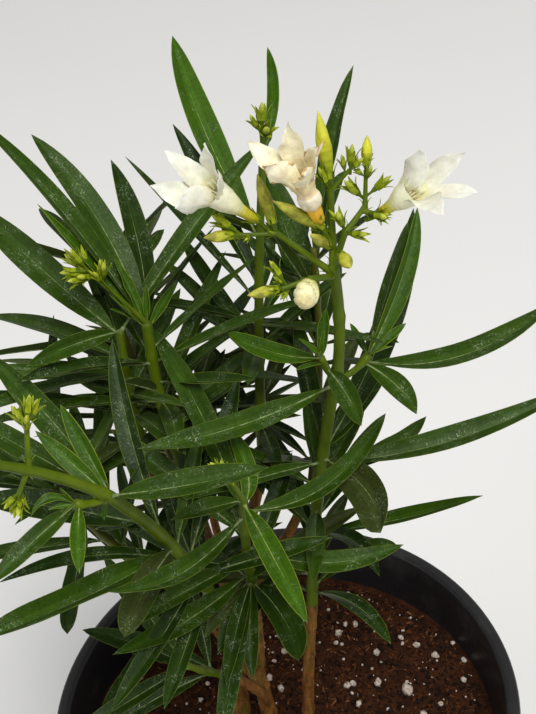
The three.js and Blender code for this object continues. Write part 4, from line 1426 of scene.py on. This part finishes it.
# %% Sweep the shoots
NEAR_TIP = 0.97
CROWDED = 9
WOODY_SHOOTS = ("foliage_back_left", "foliage_back_right", "foliage_back_low",
                "foliage_left_side")
shoots_green, shoots_olive = Shape(), Shape()
for name, shoot in SHOOTS.items():
    count, first, last = shoot["whorls"][:3]
    joints = [first + (last - first) * i / max(count - 1, 1) for i in range(count)]
    if len(shoot["placed"]) < CROWDED:
        joints += [row[0] for row in shoot["placed"] if row[0] < NEAR_TIP]
    add_shoot(shoots_olive if name in WOODY_SHOOTS else shoots_green, shoot["limb"],
              sorted({round(at, 1) for at in joints}))
shoots_green.make("shoots_green", [green_stalk], "foliage", smooth_below=80)
shoots_olive.make("shoots_olive", [olive_stalk], "foliage", smooth_below=80)

# %% [markdown]
# ## Buds and their sepals
# A bud is a spindle whose five petals are rolled round each other, so its sides carry a
# slow spiral. Five petals could be rolled up one by one, but only their outer laps would
# show. So one skin steps in a little at each lap. It sits in a green cup of five narrow
# pointed sepals on a short stalk.

# %% Build sepals
buds_small, buds_yellow, buds_olive, buds_cream = Shape(), Shape(), Shape(), Shape()
sepals, stalks = Shape(), Shape()
SEPAL = ((0, 1.0), (0.3, 1.1), (0.6, 0.75), (0.85, 0.35))
SEPAL_THICK = 0.2


def add_sepals(middle, axes, reach, length, lean, chance, count=5, wide=0.14):
    """Narrow green points round the foot of a bud or flower."""
    for i in range(count):
        turn = 360 * i / count + chance.between(-14, 14)
        out = aslant(axes, turn, 90)
        side = axes[0].cross(out)
        bend = lean + chance.between(-8, 14)
        long = length * chance.between(0.85, 1.12)
        rings = []
        for share, width in SEPAL:
            way = aslant(axes, turn, 4 + bend * share)
            place = middle + out * reach + way * (long * share)
            half = length * wide * width
            rings.append([place - out * SEPAL_THICK, place - side * half,
                          place + out * SEPAL_THICK, place + side * half])
        rings.append([middle + out * reach + aslant(axes, turn, 4 + bend) * long])
        sepals.loft(rings)


print("sepal helper ready, each sepal", len(SEPAL) + 1, "rings long")

# %% Roll a bud's petals
BUD = {"rows": 14, "radius_share": 0.175, "sunk": 1.0, "bands": 7}


def add_spindle(shape, limb, radius, start, chance, lobes=5, step=0.2, sides=24, blunt=0.95,
                swirl=1.0):
    """The rolled petals of a bud, which lap over each other in a slow spiral."""
    axes = limb.axes(0.5)
    spin = swirl * chance.between(0.35, 0.6)
    phase = chance.next()
    rings, bands = [], []
    for i in range(BUD["rows"] + 1):
        share = i / BUD["rows"]
        belly = math.sin(math.pi * min(1, 0.14 + 0.86 * share ** 1.1)) ** blunt

        def reach(angle):
            lap = (angle / TURN * lobes + spin * lobes * share + phase) % 1
            return radius * (0.1 + 0.9 * belly) * (1 - step * lap ** 3)

        place = limb.at(start + (1 - start) * share * 0.98)
        rings.append(ring_of(place, axes, reach, sides, 0.4 * share))
        bands.append(min(int(share * BUD["bands"]), BUD["bands"] - 1))
    rings.append([limb.tip])
    shape.loft(rings, bands)


print("petal rolls ready,", BUD["bands"], "bands of colour a bud")

# %% Build buds and clusters of them
GOLDEN_ANGLE = 137.5


def add_bud(shape, foot, tip, radius, chance, **petals):
    """A large bud on its stalk, with a cup of close sepals."""
    limb = Limb(foot, tip)
    axes = limb.axes(0.5)
    stem = min(0.22, 4.5 / limb.length)
    thin = max(0.6, radius * 0.4)
    stalks.loft([ring_of(limb.at(share), axes, girth, 10) for share, girth in
                 ((0, thin), (stem * 0.7, thin * 0.95), (stem, radius * 0.62),
                  (stem + 0.08, radius * 0.72))])
    add_spindle(shape, limb, radius, stem, chance, **petals)
    add_sepals(limb.at(stem), axes, radius * 0.62, min(limb.length * 0.32, 5.6), 9, chance)


def add_small_bud(foot, tip, radius, chance):
    """A young bud, mostly its green cup, whose points stand out past the petals."""
    limb = Limb(foot, tip)
    axes = limb.axes(0.5)
    wide = radius * 0.86
    stalks.loft([ring_of(limb.at(share), axes, girth, 10) for share, girth in
                 ((0, wide * 0.42), (0.24, wide * 0.42), (0.34, wide * 0.8), (0.5, wide),
                  (0.62, wide * 0.9), (0.66, wide * 0.6))])
    add_spindle(buds_small, limb, wide * 0.78, 0.5, chance)
    add_sepals(limb.at(0.42), axes, wide * 0.86, limb.length * 0.56, 17, chance, wide=0.15)


def add_cluster(limb, count, size, chance, draw):
    """Small buds round the end of a stalk, turned on by the golden angle."""
    axes = limb.axes(1)
    for i in range(count):
        turn = GOLDEN_ANGLE * i + 30 * draw.next()
        opening = 8 if i == 0 else 22 + 38 * draw.next()
        way = aslant(axes, turn, opening)
        length = size * (0.8 + 0.5 * draw.next())
        foot = limb.at(1 - 0.12 * (i % 3)) - axes[0] * BUD["sunk"]
        tip = foot + way * (length + BUD["sunk"])
        add_small_bud(foot, tip, length * BUD["radius_share"], chance)


print("bud helpers ready")

# %% [markdown]
# ## Flowers
# An open oleander flower is a funnel: a narrow orange-yellow foot, a cream throat with a
# fringe in it, and five white petals, each a little lopsided and turned like a windmill's
# sail. Cloth could be draped for them, but a petal stands as it has grown and doesn't hang.
# So each is a thin closed skin along its own curve out of the throat, with its opening, its
# length and its roll as in the photo. The fading flower's petals are folded more deeply.

# %% Outline a petal
petals_white, petals_faded = Shape(), Shape()
tubes, tubes_faded, fringes = Shape(), Shape(), Shape()
PETAL = {
    "rows": 16, "half": 5, "width": 10.2, "thick": 0.28, "bands": 5,
    "from": 0.86, "root": 4.2, "faded_root": 3.4, "skew": 1.1, "rib": 0.22,
    "folds": 0.5, "faded_folds": 1.1, "fold_size": 4.5,
}
PETAL_OUTLINE = [(0, 0.5), (0.15, 0.64), (0.35, 0.92), (0.5, 1.0), (0.64, 0.93), (0.78, 0.68),
                 (0.9, 0.34), (1, 0.03)]
FOLD_SEED = 4
# Without a seed, the folds would follow the clock and differ each time.
noise.seed_set(FOLD_SEED)


def along_table(table, share):
    """A value from a table of places and values, joined by straight steps."""
    for (low, first), (high, second) in zip(table, table[1:]):
        if share <= high:
            return first + (second - first) * (share - low) / (high - low)
    return table[-1][1]


print("a petal is widest at", max(PETAL_OUTLINE, key=lambda stop: stop[1])[0], "of its length")

# %% Close a petal's skin
def close_petal(shape, tops, unders, browned):
    """Joins a petal's two sides at its rim and parts them into bands of colour."""
    rows, across = PETAL["rows"], 2 * PETAL["half"] + 1
    top_count = len(tops)
    faces, bands = [], []
    for i in range(rows):
        for j in range(across - 1):
            a = i * across + j
            b = top_count + a
            faces.append((a, a + across, a + across + 1, a + 1))
            faces.append((b, b + 1, b + across + 1, b + across))
            band = min(int(i / rows * PETAL["bands"]), PETAL["bands"] - 1)
            if browned and (i == rows - 1 or j in (0, across - 2) and i % 5 > 2):
                band = PETAL["bands"]
            bands += [band, band]
    rim = list(range(across))
    rim += [i * across + across - 1 for i in range(1, rows + 1)]
    rim += [rows * across + j for j in range(across - 2, -1, -1)]
    rim += [i * across for i in range(rows - 1, 0, -1)]
    for a, b in zip(rim, rim[1:] + rim[:1]):
        faces.append((a, b, top_count + b, top_count + a))
        bands.append(PETAL["bands"] if browned else PETAL["bands"] - 1)
    shape.add(tops + unders, faces, bands)


print("petals are closed in", PETAL["bands"], "bands of colour")

# %% Build a petal
def add_petal(shape, axis, length, turn, opening, roll, chance, faded, browned):
    """A lopsided pointed petal, cupped across and curved outwards along its length."""
    axes = axis.axes(0.5)
    out = aslant(axes, turn, 90)
    way = aslant(axes, turn, opening)
    start = axis.at(PETAL["from"]) + out * PETAL["faded_root" if faded else "root"]
    tip = axis.at(0.88) + out * 2.3 + way * length
    curve = Limb(start, tip, start + (axes[0] * 0.5 + way * 0.55) * (length * 0.42))
    lean = math.radians(chance.between(12, 26) + roll)
    cup = chance.between(0.25, 0.5) * (1.5 if faded else 1)
    ruffle = chance.between(0.3, 0.6) * (2.2 if faded else 1)
    phase = TURN * chance.next()
    rows, half = PETAL["rows"], PETAL["half"]
    shares = [-1 + i / half for i in range(2 * half + 1)]
    tops, unders = [], []
    for i in range(rows + 1):
        share = i / rows
        line = curve.axes(share)[0]
        side = axes[0].cross(out)
        side = (side - line * side.dot(line)).normalized()
        side = Matrix.Rotation(lean * (0.4 + share), 3, line) @ side
        upper = side.cross(line).normalized()
        width = PETAL["width"] / 2 * along_table(PETAL_OUTLINE, share)
        skew = PETAL["skew"] * math.sin(math.pi * share)
        for s in shares:
            curl = cup * width * s * s * (1.3 - share)
            curl += ruffle * s * abs(s) * math.sin(TURN * 1.5 * share + phase)
            rib = PETAL["rib"] * math.cos(3 * math.pi * s) * (1 - share)
            point = curve.at(share) + side * (width * s + skew) - upper * (curl + rib)
            fold = PETAL["faded_folds" if faded else "folds"] * (0.4 + share)
            point += noise.noise_vector(point / PETAL["fold_size"]) * fold
            tops.append(point)
            unders.append(point + upper * (PETAL["thick"] * (1 - 0.7 * s * s)))
    close_petal(shape, tops, unders, browned)


print("petal helper ready,", PETAL["rows"], "rows a petal")

# %% Build a flower
TUBE = [(0, 1.3), (0.07, 1.9), (0.3, 2.15), (0.42, 2.6), (0.55, 3.7), (0.7, 4.7), (0.85, 5.2),
        (1.0, 5.5)]
FADED_TUBE = [(0, 1.6), (0.06, 2.3), (0.28, 2.7), (0.38, 2.8), (0.44, 3.7), (0.56, 4.4),
              (0.68, 4.3), (0.76, 3.6), (0.86, 4.0), (1.0, 4.6)]
TUBE_ROWS = 24
TUBE_SIDES = 30
TUBE_WALL = 0.45
TUBE_BANDS = 10
FRINGE_HAIRS = 15


def add_flower(axis, pedicel, petals, chance, faded):
    """A funnel with five petals, a fringe, a cup of sepals and its own short stalk."""
    axes = axis.axes(0.5)
    profile = FADED_TUBE if faded else TUBE
    rings, bands = [], []
    for i in range(TUBE_ROWS + 1):
        share = i / TUBE_ROWS
        radius = along_table(profile, share)
        crease = 0.07 if faded else 0.035

        def reach(angle):
            return radius * (1 + crease * math.cos(5 * angle + 2 * share))

        rings.append(ring_of(axis.at(share), axes, reach, TUBE_SIDES))
        bands.append(min(int(share * TUBE_BANDS), TUBE_BANDS - 1))
    for share in (0.98, 0.8, 0.6, 0.45):
        radius = along_table(profile, share) - TUBE_WALL
        rings.append(ring_of(axis.at(share), axes, radius, TUBE_SIDES))
        bands.append(TUBE_BANDS - 1 if share > 0.7 else TUBE_BANDS - 4)
    (tubes_faded if faded else tubes).loft(rings, bands[:-1])
    for number, (turn, opening, length, roll) in enumerate(petals):
        add_petal(petals_faded if faded else petals_white, axis, length, turn, opening, roll,
                  chance, faded, faded and number > 1)
    for i in range(FRINGE_HAIRS):
        turn = 360 * i / FRINGE_HAIRS + chance.between(-5, 5)
        base = axis.at(0.9) + aslant(axes, turn, 90) * (2.9 if i % 3 else 3.6)
        end = base + aslant(axes, turn, chance.between(4, 30)) * chance.between(3, 5.4)
        hair = Limb(base, end)
        fringes.loft([ring_of(hair.at(0), hair.axes(0), 0.55, 4),
                      ring_of(hair.at(0.6), hair.axes(0.6), 0.35, 4), [end]])
    add_sepals(axis.at(0.02), axes, 1.9, 6.2, 14, chance, wide=0.11)
    stalks.loft([ring_of(pedicel, axes, 0.95, 10), ring_of(axis.at(-0.02), axes, 1.05, 10),
                 ring_of(axis.at(0.04), axes, 1.8, 10)])


print("flower helper ready,", FRINGE_HAIRS, "hairs in a throat")

# %% [markdown]
# ## The trusses
# The open truss on the tallest shoot is what the eye goes to first. A branching rule would
# give a likely truss, but not this one. So its sprigs, its single buds and its three flowers
# are placed as in the photo, and only the small buds are dealt out by the same rule as in
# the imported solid. The second truss, on the leaning shoot, is still in green bud.

# %% Lay out the trusses
OPEN_TRUSS = {
    "stalk": Limb([45, -2, 447.3], [47, -9, 507], [49, -8, 478], (2.5, 2.1)), "seed": 31,
    "sprigs": [
        ([47, -9, 505], [49, 0, 535], (1.9, 1.4), 0, 6),
        ([49, 0, 534], [57, 2, 541], (1, 0.7), 2, 6),
        ([47, -9, 506], [53, -8, 522], (1.6, 1.4), 0, 6),
        ([53, -8, 521], [61, -4, 528], (1.3, 1.1), 0, 6),
        ([61, -4, 527], [63, 2, 540], (1.1, 0.8), 3, 6),
        ([60, -5, 527], [66, -6, 525], (1.1, 0.9), 4, 5),
        ([47, -9, 503], [27, -4, 522], (1.7, 1.2), 0, 6),
        ([28, -4, 521.5], [13, -5, 524], (1.2, 0.8), 4, 5),
        ([47, -9, 502], [37, -17, 508], (1.6, 1.4), 0, 6),
        ([38, -17, 508], [26, -19, 507], (1.4, 0.9), 4, 5),
    ],
    "buds": [
        ([49.5, 1, 534], [48, 11, 562], 2.9), ([63, 2, 538], [65, 8, 551], 2.1),
        ([57, 2, 539], [59, 5, 550], 1.7), ([61.5, -2.5, 530], [54, -3, 540], 1.8),
        ([61.6, -2.2, 531], [72, -1, 538], 1.4), ([49, 0, 534], [45.5, 2, 544], 1.4),
        ([62, -5.3, 526.3], [68, -12, 527], 1.9), ([52.6, -8.1, 521], [50, -9, 531], 1.8),
        ([52.3, -8.1, 520], [60, -15, 523], 1.6), ([47.8, -7, 513], [39, -14, 526], 2.1),
        ([49.6, -8.6, 513], [52, -23, 515], 2.6), ([37, -17, 507], [33, -33, 509], 4.8),
        ([28, -18.5, 507], [13, -23, 509], 2.2), ([28, -18.5, 508], [23, -14, 517], 1.5),
        ([14, -5, 524], [0, -8, 527], 2.3), ([14, -5, 524], [4, -1, 532], 1.8),
        ([27, -3.5, 521], [23, 5, 543], 2.7), ([47.9, -4.8, 519], [27, -5, 537], 2.6),
    ],
    "flowers": [
        ([20.9, -0.7, 526.2], [5.5, -5, 544.6], [26, -4, 521], False,
         [(36, 36, 19, -20), (108, 28, 23.5, 20), (180, 24, 23.5, -50), (-108, 36, 22, 30),
          (-36, 48, 17, 0)]),
        ([43.7, -5, 524.3], [38.6, -5.7, 543.8], [47, -8, 516], True,
         [(138, 42, 24.5, -20), (66, 16, 24, -25), (-6, 32, 18, -10), (-150, 28, 19.5, 45),
          (-78, 36, 14, 0)]),
        ([65.5, -5.9, 524.8], [78.5, -10.5, 536.4], [61, -4.6, 522.5], False,
         [(168, 32, 20.5, 45), (42, 44, 25, 10), (-30, 32, 23.5, -12), (-102, 52, 23.5, 55),
          (114, 24, 11, 0)]),
    ],
}
GREEN_TRUSS = {
    "stalk": Limb([-49.2, -66.2, 460.3], [-98, -84, 506], [-66, -70, 482], (2.3, 1.6)),
    "seed": 32,
    "sprigs": [
        ([-71, -73, 485], [-69, -65, 499], (1.3, 1), 4, 9),
        ([-71, -73, 485], [-76, -79, 478], (1.3, 1), 4, 8),
        ([-82, -77, 493], [-84, -68, 506], (1.2, 0.9), 4, 9),
        ([-88, -80, 498], [-97, -94, 500], (1.2, 0.9), 4, 9),
        ([-96, -83, 504], [-106, -80, 520], (1.3, 0.9), 4, 10),
        ([-96, -83, 504], [-96, -92, 520], (1.2, 0.9), 4, 10),
    ],
    "buds": [], "flowers": [],
}
print(len(OPEN_TRUSS["sprigs"]) + len(GREEN_TRUSS["sprigs"]), "sprigs laid out")

# %% Build a sprig's skin
def sprig_skin(limb):
    """A stalk of the truss, a little thicker at both ends."""
    rings = []
    for i in range(9):
        share = i / 8
        swell = 0.22 * (math.exp(-(share * 7) ** 2) + math.exp(-((1 - share) * 7) ** 2))
        rings.append(ring_of(limb.at(share), limb.axes(share),
                             limb.radius(share) * 0.88 + swell, 12))
    stalks.loft(rings)


print("sprig helper ready")

# %% Grow the trusses
CREAM_BUD = 4.0
LARGE_BUD = 2.0
UPRIGHT_RISE = 12.0
YELLOW_FROM = 530.0
fine_chance = Chance(611)
for truss in (OPEN_TRUSS, GREEN_TRUSS):
    draw = Chance(truss["seed"])
    add_shoot(stalks, truss["stalk"], [0.02, 0.55])
    for foot, tip, girth, count, size in truss["sprigs"]:
        limb = Limb(foot, tip, girth=girth)
        sprig_skin(limb)
        add_cluster(limb, count, size, fine_chance, draw)
        add_sepals(limb.at(0.12), limb.axes(0), girth[0] * 0.8, 3.2, 30, fine_chance, 2)
    for foot, tip, radius in truss["buds"]:
        if radius > CREAM_BUD:
            add_bud(buds_cream, foot, tip, radius, fine_chance, lobes=4, step=0.36, sides=48,
                    blunt=0.4, swirl=1.8)
        elif radius > LARGE_BUD:
            is_yellow = tip[2] - foot[2] > UPRIGHT_RISE and foot[2] > YELLOW_FROM
            add_bud(buds_yellow if is_yellow else buds_olive, foot, tip, radius, fine_chance)
        else:
            add_small_bud(foot, tip, radius, fine_chance)
    for foot, throat, pedicel, faded, petals in truss["flowers"]:
        add_flower(Limb(foot, throat), Vector(pedicel), petals, fine_chance, faded)
print("trusses grown,", len(petals_white.faces), "faces on the white petals")

# %% Grow the tips' buds
for name, shoot in SHOOTS.items():
    if "buds" in shoot:
        lean, count, size = shoot["buds"]
        tip = shoot["limb"].tip
        stalk = Limb(tip, tip + Vector(lean), girth=(1.5, 1))
        sprig_skin(stalk)
        add_cluster(stalk, count, size, fine_chance, Chance(shoot["seed"]))
print("tips' buds grown,", len(buds_small.faces), "faces on all small buds")

# %% [markdown]
# ## Petal and bud colours
# Colours run along a bud or flower: cream runs into white, and green into yellow. A ramp
# over the object's height can't follow them, because each flower points another way. So
# each piece is cut into short bands along its length, and each band gets its own plain
# colour, a step on from the last. The wilting flower is peach, with browned edges.

# %% Mix soft finishes
BRIGHTEST = 0.92


def soft_finish(name, tone, spread=0.12, grain=3.0):
    """A finish for tender tissue that lets a little light in."""
    finish = Finish(name, roughness=0.5, specular_ior_level=0.35, subsurface_weight=0.1,
                    subsurface_scale=0.002)
    cloud = finish.speckle(grain, 3)
    dim = tuple(value * (1 - spread * 1.6) for value in tone)
    bright = tuple(min(BRIGHTEST, value * (1 + spread)) for value in tone)
    finish.feed("Base Color", finish.mix(cloud.between(0.3, 0.7), dim, bright))
    finish.relief(finish.speckle(grain * 0.4, 2), 0.07)
    return finish


def colour_at(stops, share):
    """A colour between the two stops that lie round a share."""
    for (low, first), (high, second) in zip(stops, stops[1:]):
        if share <= high:
            blend = (share - low) / (high - low)
            return tuple(a + (b - a) * blend for a, b in zip(first, second))
    return stops[-1][1]


def graded(name, stops, count, **looks):
    """One plain finish for each band along a piece."""
    return [soft_finish(f"{name}_{i}", colour_at(stops, (i + 0.5) / count), **looks)
            for i in range(count)]


print("half way from black to white is", colour_at([(0, (0, 0, 0)), (1, (1, 1, 1))], 0.5))

# %% Grade the petals and throats
white_bands = graded("white_petal", [
    (0, (0.70, 0.68, 0.38)), (0.3, (0.75, 0.73, 0.59)), (1, (0.78, 0.775, 0.71)),
], PETAL["bands"], spread=0.06)
faded_bands = graded("faded_petal", [
    (0, (0.74, 0.60, 0.30)), (0.35, (0.84, 0.75, 0.49)), (1, (0.88, 0.81, 0.63)),
], PETAL["bands"], spread=0.1)
faded_bands.append(soft_finish("faded_edge", (0.62, 0.40, 0.20), spread=0.3, grain=2.2))
TUBE_STOPS = [
    (0.0, (0.26, 0.31, 0.01)), (0.15, (0.42, 0.37, 0.01)), (0.32, (0.50, 0.46, 0.03)),
    (0.46, (0.64, 0.62, 0.28)), (0.62, (0.78, 0.76, 0.50)), (1.0, (0.80, 0.79, 0.62)),
]
FADED_STOPS = [
    (0.0, (0.50, 0.34, 0.02)), (0.2, (0.72, 0.40, 0.02)), (0.36, (0.76, 0.46, 0.06)),
    (0.42, (0.78, 0.66, 0.44)), (0.66, (0.80, 0.72, 0.56)), (0.76, (0.70, 0.54, 0.32)),
    (0.84, (0.70, 0.56, 0.30)), (1.0, (0.74, 0.60, 0.34)),
]
tube_bands = graded("flower_tube", TUBE_STOPS, TUBE_BANDS, spread=0.06)
faded_tube_bands = graded("faded_tube", FADED_STOPS, TUBE_BANDS, spread=0.12)
fringe_cream = tinted("throat_fringe", (0.80, 0.72, 0.34), (0.85, 0.82, 0.6), 2, 0.55, 0.03)
print(len(white_bands), "bands of white and", len(tube_bands), "of throat mixed")

# %% Grade the buds
small_bands = graded("small_bud", [(0, (0.24, 0.32, 0.015)), (1, (0.44, 0.48, 0.05))],
                     BUD["bands"])
yellow_bands = graded("yellow_bud", [
    (0, (0.20, 0.27, 0.006)), (0.3, (0.32, 0.36, 0.008)), (0.5, (0.52, 0.52, 0.02)),
    (1, (0.55, 0.54, 0.05)),
], BUD["bands"])
olive_bands = graded("olive_bud", [
    (0, (0.22, 0.27, 0.010)), (0.5, (0.35, 0.35, 0.03)), (1, (0.42, 0.41, 0.05)),
], BUD["bands"], spread=0.3, grain=4.5)
cream_bands = graded("cream_bud", [
    (0, (0.55, 0.52, 0.12)), (0.4, (0.74, 0.71, 0.36)), (0.8, (0.80, 0.76, 0.46)),
    (1, (0.66, 0.54, 0.24)),
], BUD["bands"], spread=0.12)
sepal_green = tinted("sepal", (0.16, 0.225, 0.006), (0.30, 0.35, 0.012), 2, 0.45, 0.03)
print(len(small_bands), "bands of bud green mixed")

# %% Make the trusses' pieces
stalks.make("truss_stalks", [green_stalk], "blossom", ["truss_flowers", "truss_green"], 80)
buds_small.make("buds_small", small_bands, "blossom", smooth_below=70)
buds_yellow.make("buds_yellow", yellow_bands, "blossom", smooth_below=70)
buds_olive.make("buds_olive", olive_bands, "blossom", smooth_below=70)
buds_cream.make("bud_cream", cream_bands, "blossom", smooth_below=70)
sepals.make("sepals", [sepal_green], "blossom", smooth_below=80)
petals_white.make("petals_white", white_bands, "blossom", smooth_below=80)
petals_faded.make("petals_faded", faded_bands, "blossom", smooth_below=80)
tubes.make("flower_tubes", tube_bands, "blossom", smooth_below=70)
tubes_faded.make("faded_tube", faded_tube_bands, "blossom", smooth_below=70)
fringes.make("throat_fringes", [fringe_cream], "blossom", smooth_below=70)

# %% [markdown]
# ## Floor and light
# The plant stands on a plain pale floor in soft light from above. A picture of a sky could
# light it, but lamps keep the scene in one file. One large soft lamp hangs high in front and
# to the right, a weaker one fills in from the left, and a pale sky fills the rest.

# %% Lay the floor
FLOOR_METRES = 8.0
floor_mesh = bpy.data.meshes.new("floor")
floor_corners = [(x * FLOOR_METRES, y * FLOOR_METRES, 0)
                 for x, y in ((-1, -1), (1, -1), (1, 1), (-1, 1))]
floor_mesh.from_pydata(floor_corners, [], [(0, 1, 2, 3)])
floor = bpy.data.objects.new("floor", floor_mesh)
bpy.context.scene.collection.objects.link(floor)
floor_finish = Finish("pale_floor", roughness=0.6, specular_ior_level=0.3)
floor_cloud = floor_finish.speckle(400, 2)
floor_finish.feed("Base Color", floor_finish.mix(floor_cloud, (0.80, 0.80, 0.80),
                                                 (0.83, 0.83, 0.825)))
floor_mesh.materials.append(floor_finish.material)
print("floor laid,", 2 * FLOOR_METRES, "metres wide")

# %% Hang the lights
def hang_light(name, place, aim, size, power, colour):
    """A square lamp, with its place, aim and size in metres."""
    data = bpy.data.lights.new(name, "AREA")
    data.shape = "SQUARE"
    data.size = size
    data.energy = power
    data.color = colour
    light = bpy.data.objects.new(name, data)
    light.location = place
    light.rotation_euler = (Vector(aim) - Vector(place)).to_track_quat("-Z", "Y").to_euler()
    bpy.context.scene.collection.objects.link(light)


hang_light("key_light", (1.0, -2.0, 4.4), (0, 0, 0.35), 2.2, 204, (1.0, 0.99, 0.965))
hang_light("fill_light", (-3.2, -1.8, 3.0), (0, 0, 0.35), 2.8, 46, (0.98, 0.99, 1.0))
world = bpy.data.worlds.new("pale_sky")
world.use_nodes = True
sky = world.node_tree.nodes["Background"]
sky.inputs["Color"].default_value = (1.0, 0.99, 0.965, 1)
sky.inputs["Strength"].default_value = 0.33
bpy.context.scene.world = world
bpy.context.scene.view_settings.view_transform = "Standard"
print("lights hung")
